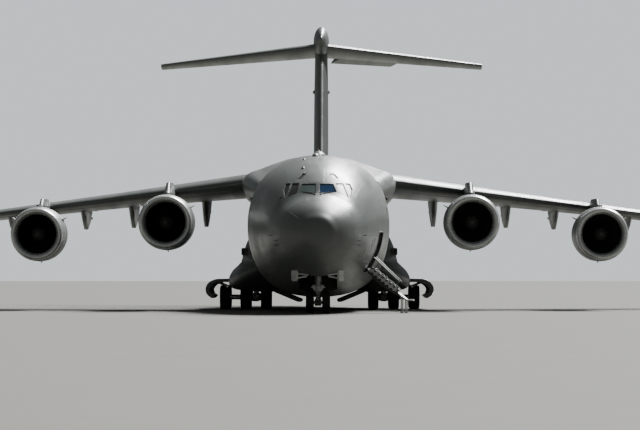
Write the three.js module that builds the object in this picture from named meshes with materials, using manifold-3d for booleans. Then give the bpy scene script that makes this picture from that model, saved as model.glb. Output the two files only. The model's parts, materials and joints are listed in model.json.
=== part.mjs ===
// A four-engined military transport plane on its landing gear, with its crew stair door down.
// Lengths are those of the full-size aircraft in metres; the group is drawn at half size, in millimetres
// Stations run aft from the nose tip, +X is the aircraft's left side, +Z is up from the ground.
import * as THREE from 'three';
import { mergeVertices } from 'three/addons/utils/BufferGeometryUtils.js';
import Module from 'manifold-3d';

const wasm = await Module();
wasm.setup();

// Driving dimensions
const modelScale = 0.5;
const drawScale = 1000 * modelScale;
const overallLength = 53.04;
const overallHeight = 16.79;
const seatGap = 0.3 / drawScale;
const runningGap = 6 / drawScale;
const faceTolerance = 0.05 / drawScale;
const bodySides = 24;

// Paint and bare finishes: colour, roughness, metalness
const finishes = {
  greyPaint: [0x83898f, 0.5, 0.1],
  radomePaint: [0x7b8187, 0.6, 0],
  whitePaint: [0xd9dbdb, 0.45, 0],
  bareMetal: [0xb5b8ba, 0.35, 0.9],
  darkMetal: [0x3c3f42, 0.5, 0.8],
  tyreRubber: [0x1d1e1f, 0.9, 0],
  glass: [0x1b2a38, 0.1, 0],
  cabinGrey: [0x55585a, 0.8, 0],
};

const plane = new THREE.Group();
plane.scale.setScalar(drawScale);

// General helpers

// A point from its distance left of the centreline, its station and its height
function at(x, station, z) {
  return new THREE.Vector3(x, station - overallLength / 2, z);
}

function solidOf(geometry) {
  const bare = geometry.clone();
  bare.deleteAttribute('normal');
  bare.deleteAttribute('uv');
  const merged = mergeVertices(bare, 1e-5);
  const vertProperties = new Float32Array(merged.attributes.position.array);
  const triVerts = new Uint32Array(merged.index.array);
  return new wasm.Manifold(new wasm.Mesh({ numProp: 3, vertProperties, triVerts }));
}

function geometryOf(solid) {
  const mesh = solid.getMesh();
  const geometry = new THREE.BufferGeometry();
  geometry.setAttribute('position', new THREE.BufferAttribute(new Float32Array(mesh.vertProperties), 3));
  geometry.setIndex(new THREE.BufferAttribute(new Uint32Array(mesh.triVerts), 1));
  geometry.computeVertexNormals();
  return geometry;
}

// One solid with the flat faces that its cuts have split joined again
function rejoinFaces(solid) {
  return solidOf(geometryOf(solid)).simplify(faceTolerance);
}

// The largest separate body of a cut piece, without the slivers that the cut leaves
function mainBody(solid) {
  return solid.decompose().reduce((best, part) => (part.volume() > best.volume() ? part : best));
}

function join(...solids) {
  return solids.reduce((sum, solid) => sum.add(solid));
}

function addPiece(name, solid, finish) {
  const [color, roughness, metalness] = finishes[finish];
  const material = new THREE.MeshStandardMaterial({ color, roughness, metalness });
  const mesh = new THREE.Mesh(geometryOf(rejoinFaces(mainBody(solid))), material);
  mesh.name = name;
  plane.add(mesh);
}

// A closed skin through rings of equally many points, each end closed from its middle. The shorter diagonal
// of each four-sided face is used, so that a form and its mirror image agree
function loft(rings) {
  const count = rings[0].length;
  const points = rings.flat();
  const faces = [];
  for (let r = 0; r + 1 < rings.length; r += 1) {
    for (let i = 0; i < count; i += 1) {
      const a = r * count + i;
      const b = r * count + ((i + 1) % count);
      const [c, d] = [b + count, a + count];
      const forward = points[a].distanceTo(points[c]) < points[b].distanceTo(points[d]) + 1e-6;
      faces.push(...(forward ? [a, b, c, a, c, d] : [a, b, d, b, c, d]));
    }
  }
  const middle = (ring) => ring.reduce((sum, p) => sum.add(p), new THREE.Vector3()).divideScalar(count);
  const first = points.push(middle(rings[0])) - 1;
  const last = points.push(middle(rings.at(-1))) - 1;
  const lastRing = (rings.length - 1) * count;
  for (let i = 0; i < count; i += 1) {
    const j = (i + 1) % count;
    faces.push(first, j, i, last, lastRing + i, lastRing + j);
  }
  let volume = 0;
  for (let f = 0; f < faces.length; f += 3) {
    const [a, b, c] = [points[faces[f]], points[faces[f + 1]], points[faces[f + 2]]];
    volume += a.dot(new THREE.Vector3().crossVectors(b, c));
  }
  if (volume < 0) {
    faces.reverse();
  }
  const geometry = new THREE.BufferGeometry();
  const places = points.flatMap((p) => [p.x, p.y, p.z]);
  geometry.setAttribute('position', new THREE.Float32BufferAttribute(places, 3));
  geometry.setIndex(faces);
  return solidOf(geometry);
}

// A block between two corners, each given as left distance, station and height
function block(low, high) {
  const from = at(...low);
  const to = at(...high);
  const size = new THREE.Vector3().subVectors(to, from);
  const geometry = new THREE.BoxGeometry(Math.abs(size.x), Math.abs(size.y), Math.abs(size.z));
  const centre = from.add(to).divideScalar(2);
  geometry.translate(centre.x, centre.y, centre.z);
  return solidOf(geometry);
}

// A round bar between two points, with an optional second radius for a taper
function bar(from, to, radius, endRadius = radius, sides = 12) {
  const along = new THREE.Vector3().subVectors(to, from);
  const geometry = new THREE.CylinderGeometry(endRadius, radius, along.length(), sides);
  const drawnAlong = new THREE.Vector3(0, 1, 0);
  const turn = new THREE.Quaternion().setFromUnitVectors(drawnAlong, along.clone().normalize());
  geometry.applyQuaternion(turn);
  const centre = from.clone().addScaledVector(along, 0.5);
  geometry.translate(centre.x, centre.y, centre.z);
  return solidOf(geometry);
}

// The radius of a many-sided hollow in which a round part of this radius turns freely
function hollowRadius(radius, sides, clearance) {
  return (radius + clearance) / Math.cos(Math.PI / sides);
}

function boreRadius(radius, sides) {
  return hollowRadius(radius, sides, seatGap);
}

// An outline in one plane pushed through a depth: 'front' outlines hold left distance and height and run
// along the stations, 'side' outlines hold station and height and run across, 'plan' outlines hold left
// distance and station and run upwards
function slab(view, outline, from, to) {
  const place = {
    front: ([x, z], depth) => at(x, depth, z),
    side: ([station, z], depth) => at(depth, station, z),
    plan: ([x, station], depth) => at(x, station, depth),
  }[view];
  const shape = new THREE.Shape(outline.map(([u, v]) => new THREE.Vector2(u, v)));
  const geometry = new THREE.ExtrudeGeometry(shape, { depth: to - from, bevelEnabled: false });
  const position = geometry.attributes.position;
  for (let i = 0; i < position.count; i += 1) {
    const point = place([position.getX(i), position.getY(i)], from + position.getZ(i));
    position.setXYZ(i, point.x, point.y, point.z);
  }
  if (view === 'front') {
    flipFaces(geometry);
  }
  return solidOf(geometry);
}

function flipFaces(geometry) {
  const position = geometry.attributes.position;
  for (let i = 0; i < position.count; i += 3) {
    const held = new THREE.Vector3().fromBufferAttribute(position, i);
    position.setXYZ(i, position.getX(i + 1), position.getY(i + 1), position.getZ(i + 1));
    position.setXYZ(i + 1, held.x, held.y, held.z);
  }
}

function turnSolid(solid, axisFrom, axisTo, degrees) {
  const axis = new THREE.Vector3().subVectors(axisTo, axisFrom).normalize();
  const geometry = geometryOf(solid);
  geometry.translate(-axisFrom.x, -axisFrom.y, -axisFrom.z);
  geometry.applyQuaternion(new THREE.Quaternion().setFromAxisAngle(axis, THREE.MathUtils.degToRad(degrees)));
  geometry.translate(axisFrom.x, axisFrom.y, axisFrom.z);
  return solidOf(geometry);
}

function mirrorSolid(solid) {
  const geometry = geometryOf(solid);
  geometry.scale(-1, 1, 1);
  const index = geometry.index.array;
  for (let i = 0; i < index.length; i += 3) {
    [index[i], index[i + 1]] = [index[i + 1], index[i]];
  }
  return solidOf(geometry);
}

// Fuselage

// Section columns: station, half width, bottom, top, height of the widest line, corner power
const bodySections = [
  [0, 0.25, 3.5, 4.0, 3.75, 2],
  [0.25, 0.8, 2.98, 4.48, 3.75, 2],
  [0.8, 1.33, 2.48, 4.92, 3.8, 2],
  [1.5, 1.72, 2.12, 5.22, 3.85, 2],
  [2.3, 2.03, 1.82, 5.5, 3.92, 2],
  [3.1, 2.28, 1.57, 6.12, 3.98, 2],
  [4.0, 2.5, 1.33, 6.6, 4.02, 2],
  [5.2, 2.73, 1.08, 7.0, 4.08, 2],
  [6.6, 2.96, 0.9, 7.3, 4.12, 2],
  [8.2, 3.2, 0.78, 7.48, 4.15, 2.05],
  [10.5, 3.43, 0.72, 7.58, 4.16, 2.2],
  [14.0, 3.43, 0.72, 7.58, 4.16, 2.5],
  [31.5, 3.43, 0.72, 7.58, 4.16, 2.5],
  [33.5, 3.42, 0.95, 7.57, 4.2, 2.5],
  [36.5, 3.3, 1.9, 7.55, 4.6, 2.4],
  [39.5, 3.02, 2.95, 7.5, 5.1, 2.3],
  [42.5, 2.5, 3.95, 7.42, 5.6, 2.2],
  [45.5, 1.75, 4.85, 7.25, 6.05, 2.1],
  [47.5, 1.05, 5.45, 7.0, 6.3, 2],
  [48.6, 0.45, 5.85, 6.65, 6.3, 2],
];
const radomeEnd = 1.5;
const cockpitEnd = 10.5;
const barrelEnd = 31.5;
const tailConeEnd = 48.6;
const frontWall = 0.2;
const barrelWall = 0.16;
const rearWall = 0.14;
const lowerDeck = 1.98;

function sectionAt(station) {
  const next = bodySections.findIndex((row) => row[0] >= station);
  if (next <= 0) {
    return bodySections[Math.max(next, 0)];
  }
  const [before, after] = [bodySections[next - 1], bodySections[next]];
  const share = (station - before[0]) / (after[0] - before[0]);
  return before.map((value, column) => value + (after[column] - value) * share);
}

function bodyRing(station, inset) {
  const [, halfWidth, bottom, top, middle, power] = sectionAt(station);
  return Array.from({ length: bodySides }, (_, i) => {
    const angle = (2 * Math.PI * i) / bodySides;
    const [c, s] = [Math.cos(angle), Math.sin(angle)];
    const side = Math.sign(c) * Math.abs(c) ** (2 / power);
    const rise = Math.sign(s) * Math.abs(s) ** (2 / power);
    const reach = s > 0 ? top - middle - inset : middle - bottom - inset;
    return at((halfWidth - inset) * side, station, middle + reach * rise);
  });
}

// The fuselage's outer form between two stations, moved inwards by inset
function bodyForm(from, to, inset = 0) {
  const whole = loft(bodySections.map(([station]) => bodyRing(station, inset)));
  return whole.intersect(block([-5, from, -1], [5, to, 9]));
}

const outerBody = bodyForm(0, tailConeEnd, -seatGap);

// Windows in the cockpit's left half: outlines of left distance and height, seen from the front
const windowOutlines = [
  [[0.075, 5.54], [0.875, 5.57], [0.715, 5.96], [0.075, 5.96]],
  [[0.94, 5.56], [1.42, 5.31], [1.17, 5.99], [0.83, 5.99]],
  [[1.5, 5.31], [1.585, 5.7], [1.467, 5.97], [1.235, 6.0]],
  [[0.74, 6.18], [0.95, 6.21], [0.73, 6.48], [0.53, 6.45]],
];
const windowDepths = [1.9, 4.4];
const glassInset = 0.04;
const linerDepth = 0.03;

function shrinkOutline(outline, amount) {
  const cx = outline.reduce((sum, p) => sum + p[0], 0) / outline.length;
  const cz = outline.reduce((sum, p) => sum + p[1], 0) / outline.length;
  return outline.map(([x, z]) => {
    const reach = Math.hypot(x - cx, z - cz);
    const share = (reach - amount * 1.6) / reach;
    return [cx + (x - cx) * share, cz + (z - cz) * share];
  });
}

function windowPrisms(shrink) {
  const prisms = windowOutlines.map((outline) => {
    return slab('front', shrinkOutline(outline, shrink), ...windowDepths);
  });
  return join(...prisms, ...prisms.map(mirrorSolid));
}

// Crew doorway on the left side
const doorway = { front: 6.3, rear: 7.25, sill: lowerDeck, head: 3.78 };

function doorwayPrism(shrink) {
  const low = [1.6, doorway.front + shrink, doorway.sill + shrink];
  const high = [3.6, doorway.rear - shrink, doorway.head - shrink];
  return block(low, high);
}

const noseBay = { halfWidth: 0.88, front: 2.6, rear: 5.95, roof: 1.86 };

function makeRadome() {
  addPiece('radome', bodyForm(0, radomeEnd - seatGap), 'radomePaint');
}

function makeCockpit() {
  const deckSpace = block([-4, 0, lowerDeck], [4, 20, 9]);
  const inside = bodyForm(radomeEnd + frontWall, cockpitEnd + 0.2, frontWall).intersect(deckSpace);
  const bay = block([-noseBay.halfWidth, noseBay.front, 0], [noseBay.halfWidth, noseBay.rear, noseBay.roof]);
  const shell = bodyForm(radomeEnd, cockpitEnd)
    .subtract(inside)
    .subtract(windowPrisms(0))
    .subtract(doorwayPrism(0))
    .subtract(bay)
    .add(stairLugs());
  addPiece('cockpit_section', shell, 'greyPaint');
}

function makeGlazing() {
  const [from, to] = windowDepths;
  const seat = frontWall + seatGap;
  const panes = bodyForm(from, to, glassInset)
    .subtract(bodyForm(from - 0.5, to + 0.5, seat + linerDepth))
    .intersect(windowPrisms(seatGap));
  const beltOutline = [[-1.62, 5.28], [1.62, 5.28], [1.62, 6.1], [1, 6.5], [-1, 6.5], [-1.62, 6.1]];
  const belt = slab('front', beltOutline, from, to);
  const liner = bodyForm(from, to, seat)
    .subtract(bodyForm(from - 0.5, to + 0.5, seat + linerDepth))
    .intersect(belt);
  addPiece('cockpit_glazing', panes.add(liner), 'glass');
}

// Flight deck: floor, rear bulkhead with a doorway, glareshield, console and two seats
const deck = { floor: 4.42, front: 2.75, rear: 5.8, thickness: 0.1, shieldTop: 5.18 };

function makeFlightDeck() {
  const { floor, front, rear, thickness, shieldTop } = deck;
  const pieces = [
    block([-3, front, floor - thickness], [3, rear, floor]),
    block([-3, rear - thickness, floor - thickness], [3, rear, 7]).subtract(
      block([-0.4, rear - 1, floor], [0.4, rear + 1, floor + 1.9]),
    ),
    block([-1.3, front, floor - 0.05], [1.3, front + 0.45, shieldTop]),
    block([-0.22, front + 0.3, floor - 0.05], [0.22, front + 1.5, floor + 0.55]),
  ];
  for (const side of [-1, 1]) {
    const x = side * 0.62;
    pieces.push(
      block([x - 0.12, 4.05, floor - 0.05], [x + 0.12, 4.3, floor + 0.35]),
      block([x - 0.26, 3.85, floor + 0.3], [x + 0.26, 4.4, floor + 0.46]),
      block([x - 0.25, 4.3, floor + 0.3], [x + 0.25, 4.44, floor + 1.15]),
    );
  }
  const below = bodyForm(radomeEnd + 0.2, 8, frontWall + seatGap).intersect(block([-5, 0, 0], [5, 9, 5.2]));
  const room = bodyForm(radomeEnd + 0.2, 8, frontWall + linerDepth + 3 * seatGap).add(below);
  addPiece('flight_deck', join(...pieces).intersect(room), 'cabinGrey');
}

// Cargo floor
const cargoFloor = { top: 1.63, thickness: 0.22, front: 10.7, rear: 32.2 };

function makeCargoFloor() {
  const { top, thickness, front, rear } = cargoFloor;
  const plate = block([-3, front, top - thickness], [3, rear, top]);
  addPiece('cargo_floor', plate.intersect(bodyForm(front - 1, rear + 1, barrelWall + seatGap)), 'cabinGrey');
}

// Lifting surfaces

// Half-thickness of the wing section at a share of the chord, for a section of unit thickness
function sectionThickness(share) {
  const s = Math.min(Math.max(share, 0), 1);
  return 5 * (0.2969 * Math.sqrt(s) - 0.126 * s - 0.3516 * s ** 2 + 0.2843 * s ** 3 - 0.1036 * s ** 4);
}

const chordShares = [0, 0.015, 0.07, 0.2, 0.4, 0.66, 1];

// One section: nose point, chord, thickness ratio, nose-up angle and lean of the section's upright,
// both in degrees
function sectionRing({ nose, chord, ratio, incidence = 0, lean = 0, grow = 0 }) {
  const pitch = THREE.MathUtils.degToRad(incidence);
  const cant = THREE.MathUtils.degToRad(lean);
  const aft = new THREE.Vector3(0, Math.cos(pitch), -Math.sin(pitch));
  const up = new THREE.Vector3(-Math.sin(cant), 0, Math.cos(cant));
  const start = nose.clone().addScaledVector(aft, -grow);
  const length = chord + 2 * grow;
  const place = (share, side) => {
    const height = side * (ratio * chord * sectionThickness(share) + grow);
    return start.clone().addScaledVector(aft, share * length).addScaledVector(up, height);
  };
  const upper = chordShares.slice(1).map((share) => place(share, 1));
  const lower = chordShares.slice(1).reverse().map((share) => place(share, -1));
  return [place(0, 0), ...upper, ...lower];
}

// Wing plan: leading edge sweep, chords at the centreline, the kink and the tip
const wing = {
  noseStation: 16.0, noseSlope: 0.52, noseHeight: 6.92, droop: 0.1093,
  rootChord: 12.0, kinkAt: 10.3, kinkChord: 7.25, tipAt: 24.95, tipChord: 3.3,
  rootRatio: 0.115, kinkRatio: 0.108, tipRatio: 0.1, rootIncidence: 2.5, tipIncidence: 0,
};

function wingAt(x) {
  const inner = x < wing.kinkAt;
  const share = inner ? x / wing.kinkAt : (x - wing.kinkAt) / (wing.tipAt - wing.kinkAt);
  const [c0, c1] = inner ? [wing.rootChord, wing.kinkChord] : [wing.kinkChord, wing.tipChord];
  const [r0, r1] = inner ? [wing.rootRatio, wing.kinkRatio] : [wing.kinkRatio, wing.tipRatio];
  return {
    nose: at(x, wing.noseStation + wing.noseSlope * x, wing.noseHeight - wing.droop * x),
    chord: c0 + (c1 - c0) * share,
    ratio: r0 + (r1 - r0) * share,
    incidence: wing.rootIncidence + (wing.tipIncidence - wing.rootIncidence) * (x / wing.tipAt),
  };
}

// Winglet sections beyond the tip: left distance, rise, sweep back, chord, lean in degrees
const wingletSections = [
  [0.32, 0.1, 0.25, 3.0, 35],
  [0.5, 0.42, 0.6, 2.7, 68],
  [0.865, 2.8, 2.55, 1.35, 76],
];

function wingForm(grow = 0) {
  const rings = [0, 3.3, wing.kinkAt, 17.65, wing.tipAt].map((x) => sectionRing({ ...wingAt(x), grow }));
  const tip = wingAt(wing.tipAt);
  for (const [x, rise, back, chord, lean] of wingletSections) {
    const nose = tip.nose.clone().add(new THREE.Vector3(x, back, rise));
    rings.push(sectionRing({ nose, chord, ratio: 0.09, lean, grow }));
  }
  return loft(rings);
}

// The lower skin's height at a share of the chord
function wingUnderside(x, share) {
  const { nose, chord, ratio, incidence } = wingAt(x);
  const drop = Math.sin(THREE.MathUtils.degToRad(incidence)) * chord * share;
  return nose.z - drop - ratio * chord * sectionThickness(share);
}

function wingStation(x, share) {
  return wing.noseStation + wing.noseSlope * x + wingAt(x).chord * share;
}

// Engines: left distance, height of the axis, station of the intake lip
const engines = {
  inner: { x: 7.66, z: 4.44, lip: 14.8 },
  outer: { x: 14.42, z: 3.9, lip: 18.3 },
};
const nacelle = { lipRadius: 1.2, widest: 1.4, throat: 1.0, discFront: 1.6, discRear: 1.85, length: 5.9 };
const shaftSides = 12;
const nacelleSides = 18;
const fanTip = nacelle.throat * Math.cos(Math.PI / nacelleSides) - runningGap;
const fan = { tip: fanTip, front: 0.98, rear: 1.48, hubRadius: 0.36, blades: 16, shaft: 0.14 };

// Nacelle profile columns: radius, distance behind the lip
function nacelleProfile() {
  const { lipRadius, widest, throat, discFront, discRear, length } = nacelle;
  const bore = boreRadius(fan.shaft, shaftSides);
  return [
    [0, 2.1], [bore, 2.1], [bore, discFront], [throat, discFront], [throat, 0.4], [1.08, 0.08],
    [lipRadius, 0], [1.33, 0.3], [widest, 1.0], [widest, 2.2], [1.26, 3.5], [1.1, 4.5], [1.06, 4.5],
    [1.1, discRear], [0.6, discRear], [0.72, 3.0], [0.66, 4.5], [0.44, 5.25], [0.26, 5.25], [0, length],
  ];
}

function lathe(profile, sides, { x, z, station }) {
  const points = profile.map(([radius, along]) => new THREE.Vector2(radius, along));
  const geometry = new THREE.LatheGeometry(points, sides);
  const place = at(x, station, z);
  geometry.translate(place.x, place.y, place.z);
  return geometry;
}

// A turned solid, with its faces set to point outwards whatever way its profile runs
function turned(profile, sides, place) {
  const geometry = lathe(profile, sides, place);
  const outward = solidOf(geometry);
  return outward.volume() > 0 ? outward : solidOf(lathe([...profile].reverse(), sides, place));
}

function nacelleOuter({ x, z, lip }) {
  const { lipRadius, widest, length } = nacelle;
  const skin = [[0, 0], [lipRadius, 0], [1.33, 0.3], [widest, 1], [widest, 2.2], [1.26, 3.5], [1.1, 4.5]];
  const core = [[0.66, 4.5], [0.44, 5.25], [0.26, 5.25], [0, length]];
  const grown = [...skin, ...core].map(([radius, along]) => [radius ? radius + seatGap : 0, along]);
  return turned(grown, nacelleSides, { x, z, station: lip });
}

function makeFan(name, { x, z, lip }) {
  const { tip, front, rear, hubRadius, blades, shaft } = fan;
  const shaftEnd = 2.1 - seatGap;
  const spinner = [
    [0, 0.5], [0.2, 0.66], [hubRadius, front], [hubRadius, rear],
    [shaft, rear], [shaft, shaftEnd], [0, shaftEnd],
  ];
  let wheel = turned(spinner, shaftSides, { x, z, station: lip });
  // Blade section columns: radius, half chord along the shaft, half chord round the shaft, thickness
  const bladeSections = [
    [hubRadius - 0.04, 0.2, 0.05, 0.03],
    [tip, 0.11, 0.16, 0.015],
  ];
  const middle = (front + rear) / 2;
  const rings = bladeSections.map(([radius, along, round, thick]) => {
    const corners = [
      [-along, -round - thick], [-along, -round + thick], [along, round + thick], [along, round - thick],
    ];
    return corners.map(([a, r]) => new THREE.Vector3(r, middle + a, Math.sqrt(radius ** 2 - r ** 2)));
  });
  for (let i = 0; i < blades; i += 1) {
    const turn = new THREE.Matrix4().makeRotationY((2 * Math.PI * i) / blades);
    const shift = at(x, lip, z);
    const blade = loft(rings.map((ring) => ring.map((p) => p.clone().applyMatrix4(turn).add(shift))));
    wheel = wheel.add(blade);
  }
  addPiece(name, wheel, 'darkMetal');
}

function makeNacelle(name, { x, z, lip }) {
  addPiece(name, turned(nacelleProfile(), nacelleSides, { x, z, station: lip }), 'greyPaint');
}

// Engine pylon section columns: height, front station, rear station, half width
function pylonForm({ x, z, lip }) {
  const nose = wingAt(x).nose;
  const wingTop = nose.z + 0.42;
  const levels = [
    [z + 0.9, lip + 1.0, lip + 6.4, 0.2],
    [z + 1.5, lip + 1.15, lip + 6.9, 0.24],
    [nose.z - 0.15, lip + 2.0, lip + 7.6, 0.24],
    [wingTop, lip + 3.1, lip + 6.3, 0.16],
  ];
  return loft(levels.map(([height, front, rear, half]) => {
    const outline = [[0, 0], [0.55, 0.06], [1, 0.3], [1, 0.6], [0.35, 0.92], [0, 1]];
    const right = outline.slice(1, -1).map(([w, s]) => [-w, s]).reverse();
    return [...outline, ...right].map(([w, s]) => at(x + w * half, front + (rear - front) * s, height));
  }));
}

// Flap hinge fairings: left distance, depth below the wing, depth of the hinge line
const hingeShare = 0.72;
const fairings = [
  { x: 6.0, depth: 1.34, hinge: 0.62 },
  { x: 9.9, depth: 1.1, hinge: 0.52 },
  { x: 12.5, depth: 0.95, hinge: 0.45 },
  { x: 16.5, depth: 0.72, hinge: 0.34 },
];

function fairingForm({ x, depth, hinge }, barrel) {
  const pivot = wingStation(x, hingeShare);
  const skin = (share) => wingUnderside(x, share);
  // Section columns: distance aft of the hinge line, depth below the skin, half width at the top
  const sections = [
    [-3.3, 0.05, 0.08],
    [-2.5, depth * 0.55, 0.19],
    [-1.2, depth, 0.24],
    [0, hinge + 0.9 * barrel, 0.24],
    [barrel, hinge + 0.6 * barrel, 0.22],
    [2.1, 0.12, 0.09],
  ];
  return loft(sections.map(([aft, down, half]) => {
    const share = hingeShare + aft / wingAt(x).chord;
    const top = skin(share) + 0.14;
    const low = skin(share) - down;
    const outline = [[0.5, top], [1, top - 0.08], [0.85, (top + low) / 2], [0.45, low]];
    const leftSide = outline.map(([w, h]) => [w * half, h]);
    const ring = [...leftSide, ...leftSide.map(([w, h]) => [-w, h]).reverse()];
    return ring.map(([w, h]) => at(x + w, pivot + aft, h));
  }));
}

// Hinged surfaces

// A frame along a hinge line: u runs along it, v aft and w across the surface
function hingeFrame(from, to, aft) {
  const u = new THREE.Vector3().subVectors(to, from).normalize();
  const v = aft.clone().addScaledVector(u, -aft.dot(u)).normalize();
  const w = new THREE.Vector3().crossVectors(u, v);
  return new THREE.Matrix4().makeBasis(u, v, w).setPosition(from);
}

function framedBlock(frame, [u0, u1], [v0, v1], [w0, w1]) {
  const geometry = new THREE.BoxGeometry(u1 - u0, v1 - v0, w1 - w0);
  geometry.translate((u0 + u1) / 2, (v0 + v1) / 2, (w0 + w1) / 2);
  return solidOf(geometry.applyMatrix4(frame));
}

const barrelSides = 10;

function framedBarrel(frame, [u0, u1], r0, r1, sides = barrelSides) {
  const geometry = new THREE.CylinderGeometry(r1, r0, u1 - u0, sides);
  geometry.rotateZ(-Math.PI / 2);
  geometry.translate((u0 + u1) / 2, 0, 0);
  return solidOf(geometry.applyMatrix4(frame));
}

const aftward = new THREE.Vector3(0, 1, 0);
const far = 9;

// Cuts a plain hinged surface from a whole one. Its nose is a barrel round the hinge line, and pins at both
// ends carry it
function cutSurface(whole, { from, to, r0, r1, aft = aftward, depth = 0.9 }) {
  const frame = hingeFrame(from, to, aft);
  const span = from.distanceTo(to);
  const outside = framedBlock(frame, [0, span], [0, far], [-depth, depth])
    .add(framedBarrel(frame, [0, span], ...[r0, r1].map((r) => hollowRadius(r, barrelSides, runningGap))));
  const inside = framedBlock(frame, [runningGap, span - runningGap], [0, far], [-depth, depth])
    .add(framedBarrel(frame, [runningGap, span - runningGap], r0, r1));
  const pinRadius = 0.3 * Math.min(r0, r1);
  const pins = [[-0.1, 0.2], [span - 0.2, span + 0.1]];
  const bore = boreRadius(pinRadius, 8);
  let moving = whole.intersect(inside);
  let fixed = whole.subtract(outside);
  for (const ends of pins) {
    const wider = [ends[0] - seatGap, ends[1] + seatGap];
    moving = moving.subtract(framedBarrel(frame, wider, bore, bore, 8));
    fixed = fixed.add(framedBarrel(frame, ends, pinRadius, pinRadius, 8));
  }
  return { moving, fixed };
}

// Flaps hang on a line below the wing. Their fairings split round a drum on that line, and a lug turns on
// a pin in each
const flapPlans = [
  { name: 'flap_inner', spans: [4.6, wing.kinkAt], fairings: fairings.slice(0, 2), drum: 0.47 },
  { name: 'flap_outer', spans: [wing.kinkAt + 0.38, 17.6], fairings: fairings.slice(2), drum: 0.3 },
];

function flapHinge({ spans, fairings: pair }) {
  const slope = (pair[1].hinge - pair[0].hinge) / (pair[1].x - pair[0].x);
  return spans.map((x) => {
    const below = pair[0].hinge + slope * (x - pair[0].x);
    return at(x, wingStation(x, hingeShare), wingUnderside(x, hingeShare) - below);
  });
}

function cutFlap(whole, plan) {
  const [from, to] = flapHinge(plan);
  const frame = hingeFrame(from, to, aftward);
  const span = from.distanceTo(to);
  const { drum } = plan;
  const drumSides = 12;
  const hollow = hollowRadius(drum, drumSides, runningGap);
  const outside = framedBlock(frame, [0, span], [-runningGap, far], [-2, 2])
    .subtract(framedBarrel(frame, [0, span], drum, drum, drumSides));
  const inside = framedBlock(frame, [runningGap, span - runningGap], [0, far], [-2, 2])
    .subtract(framedBarrel(frame, [0, span], hollow, hollow, drumSides));
  let moving = whole.intersect(inside);
  let fixed = whole.subtract(outside);
  const lug = { half: 0.05, radius: 0.12, sides: 10, pin: 0.04, pinSides: 14 };
  for (const fairing of plan.fairings) {
    const along = (span * (fairing.x - plan.spans[0])) / (plan.spans[1] - plan.spans[0]);
    const width = [along - lug.half, along + lug.half];
    const slot = [width[0] - runningGap, width[1] + runningGap];
    const arm = framedBlock(frame, width, [0, drum + 0.25], [0, lug.radius])
      .add(framedBarrel(frame, width, lug.radius, lug.radius, lug.sides));
    const bore = boreRadius(lug.pin, lug.pinSides);
    const lugHollow = hollowRadius(lug.radius, lug.sides, runningGap);
    moving = moving.add(arm).subtract(framedBarrel(frame, slot, bore, bore, lug.pinSides));
    fixed = fixed
      .subtract(framedBlock(frame, slot, [0, drum + 0.1], [-drum - 0.1, drum + 0.1]))
      .subtract(framedBarrel(frame, slot, lugHollow, lugHollow, lug.sides))
      .add(framedBarrel(frame, [slot[0] - 0.03, slot[1] + 0.03], lug.pin, lug.pin, lug.pinSides));
  }
  return { moving, fixed };
}

// Aileron hinge line, at mid-thickness
const aileron = { spans: [17.9, 24.5], share: 0.75 };

function surfaceHinge(x, share) {
  const { nose, chord, incidence, ratio } = wingAt(x);
  const drop = Math.sin(THREE.MathUtils.degToRad(incidence)) * chord * share;
  const station = nose.y + overallLength / 2 + chord * share;
  return { point: at(x, station, nose.z - drop), half: ratio * chord * sectionThickness(share) };
}

const wingSolid = wingForm();
const grownWing = wingForm(seatGap);

function makeWing() {
  let left = wingSolid.subtract(block([-1, 10, 0], [seatGap / 2, 40, 12]));
  for (const engine of Object.values(engines)) {
    left = left.add(pylonForm(engine).subtract(nacelleOuter(engine)));
  }
  for (const plan of flapPlans) {
    for (const fairing of plan.fairings) {
      left = left.add(fairingForm(fairing, plan.drum));
    }
  }
  const moving = {};
  for (const plan of flapPlans) {
    const cut = cutFlap(left, plan);
    left = cut.fixed;
    moving[plan.name] = cut.moving;
  }
  const ends = aileron.spans.map((x) => surfaceHinge(x, aileron.share));
  const [inner, outer] = ends;
  const cut = cutSurface(left, { from: inner.point, to: outer.point, r0: inner.half, r1: outer.half });
  left = cut.fixed;
  moving.aileron = cut.moving;
  const pieces = { wing: left, ...moving };
  for (const [name, solid] of Object.entries(pieces)) {
    addPiece(`${name}_left`, solid, 'greyPaint');
    addPiece(`${name}_right`, mirrorSolid(mainBody(solid)), 'greyPaint');
  }
}

// Crew stair door

// The skin's distance from the centreline at a station and a height
function skinReach(station, z) {
  const [, halfWidth, bottom, top, middle, power] = sectionAt(station);
  const share = Math.abs(z - middle) / (z > middle ? top - middle : middle - bottom);
  return halfWidth * (1 - share ** power) ** (1 / power);
}

const stair = {
  hingeOut: 0.07, knuckle: 0.055, pin: 0.025, pinSides: 10, slope: 38.8, opening: 107, length: 1.74,
  stringer: 0.32, plate: 0.06, frontInset: 0.14, rearInset: 0.07,
  treads: 7, railHeight: 0.74, railEnd: 0.6, railFoot: 1.55, tube: 0.024,
};
const stairHinge = [doorway.front, doorway.rear].map((station) => {
  return at(skinReach(station, doorway.sill) + stair.hingeOut, station, doorway.sill);
});
const stairWidth = stairHinge[0].distanceTo(stairHinge[1]);

// p runs out and down the stair, u along the hinge and q up from the treads
function stairFrame() {
  const u = new THREE.Vector3().subVectors(stairHinge[1], stairHinge[0]).normalize();
  const out = new THREE.Vector3(u.y, -u.x, 0);
  const slope = THREE.MathUtils.degToRad(stair.slope);
  const p = out.multiplyScalar(Math.cos(slope)).add(new THREE.Vector3(0, 0, -Math.sin(slope)));
  const q = new THREE.Vector3().crossVectors(p, u);
  return new THREE.Matrix4().makeBasis(p, u, q).setPosition(stairHinge[0]);
}

const stairs = stairFrame();

function onStair(p, u, q) {
  return new THREE.Vector3(p, u, q).applyMatrix4(stairs);
}

// The side plates of the stair stand in from both ends of its hinge, so that they pass the door posts
const sidePlates = [stair.frontInset, stairWidth - stair.rearInset - stair.plate];

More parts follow.
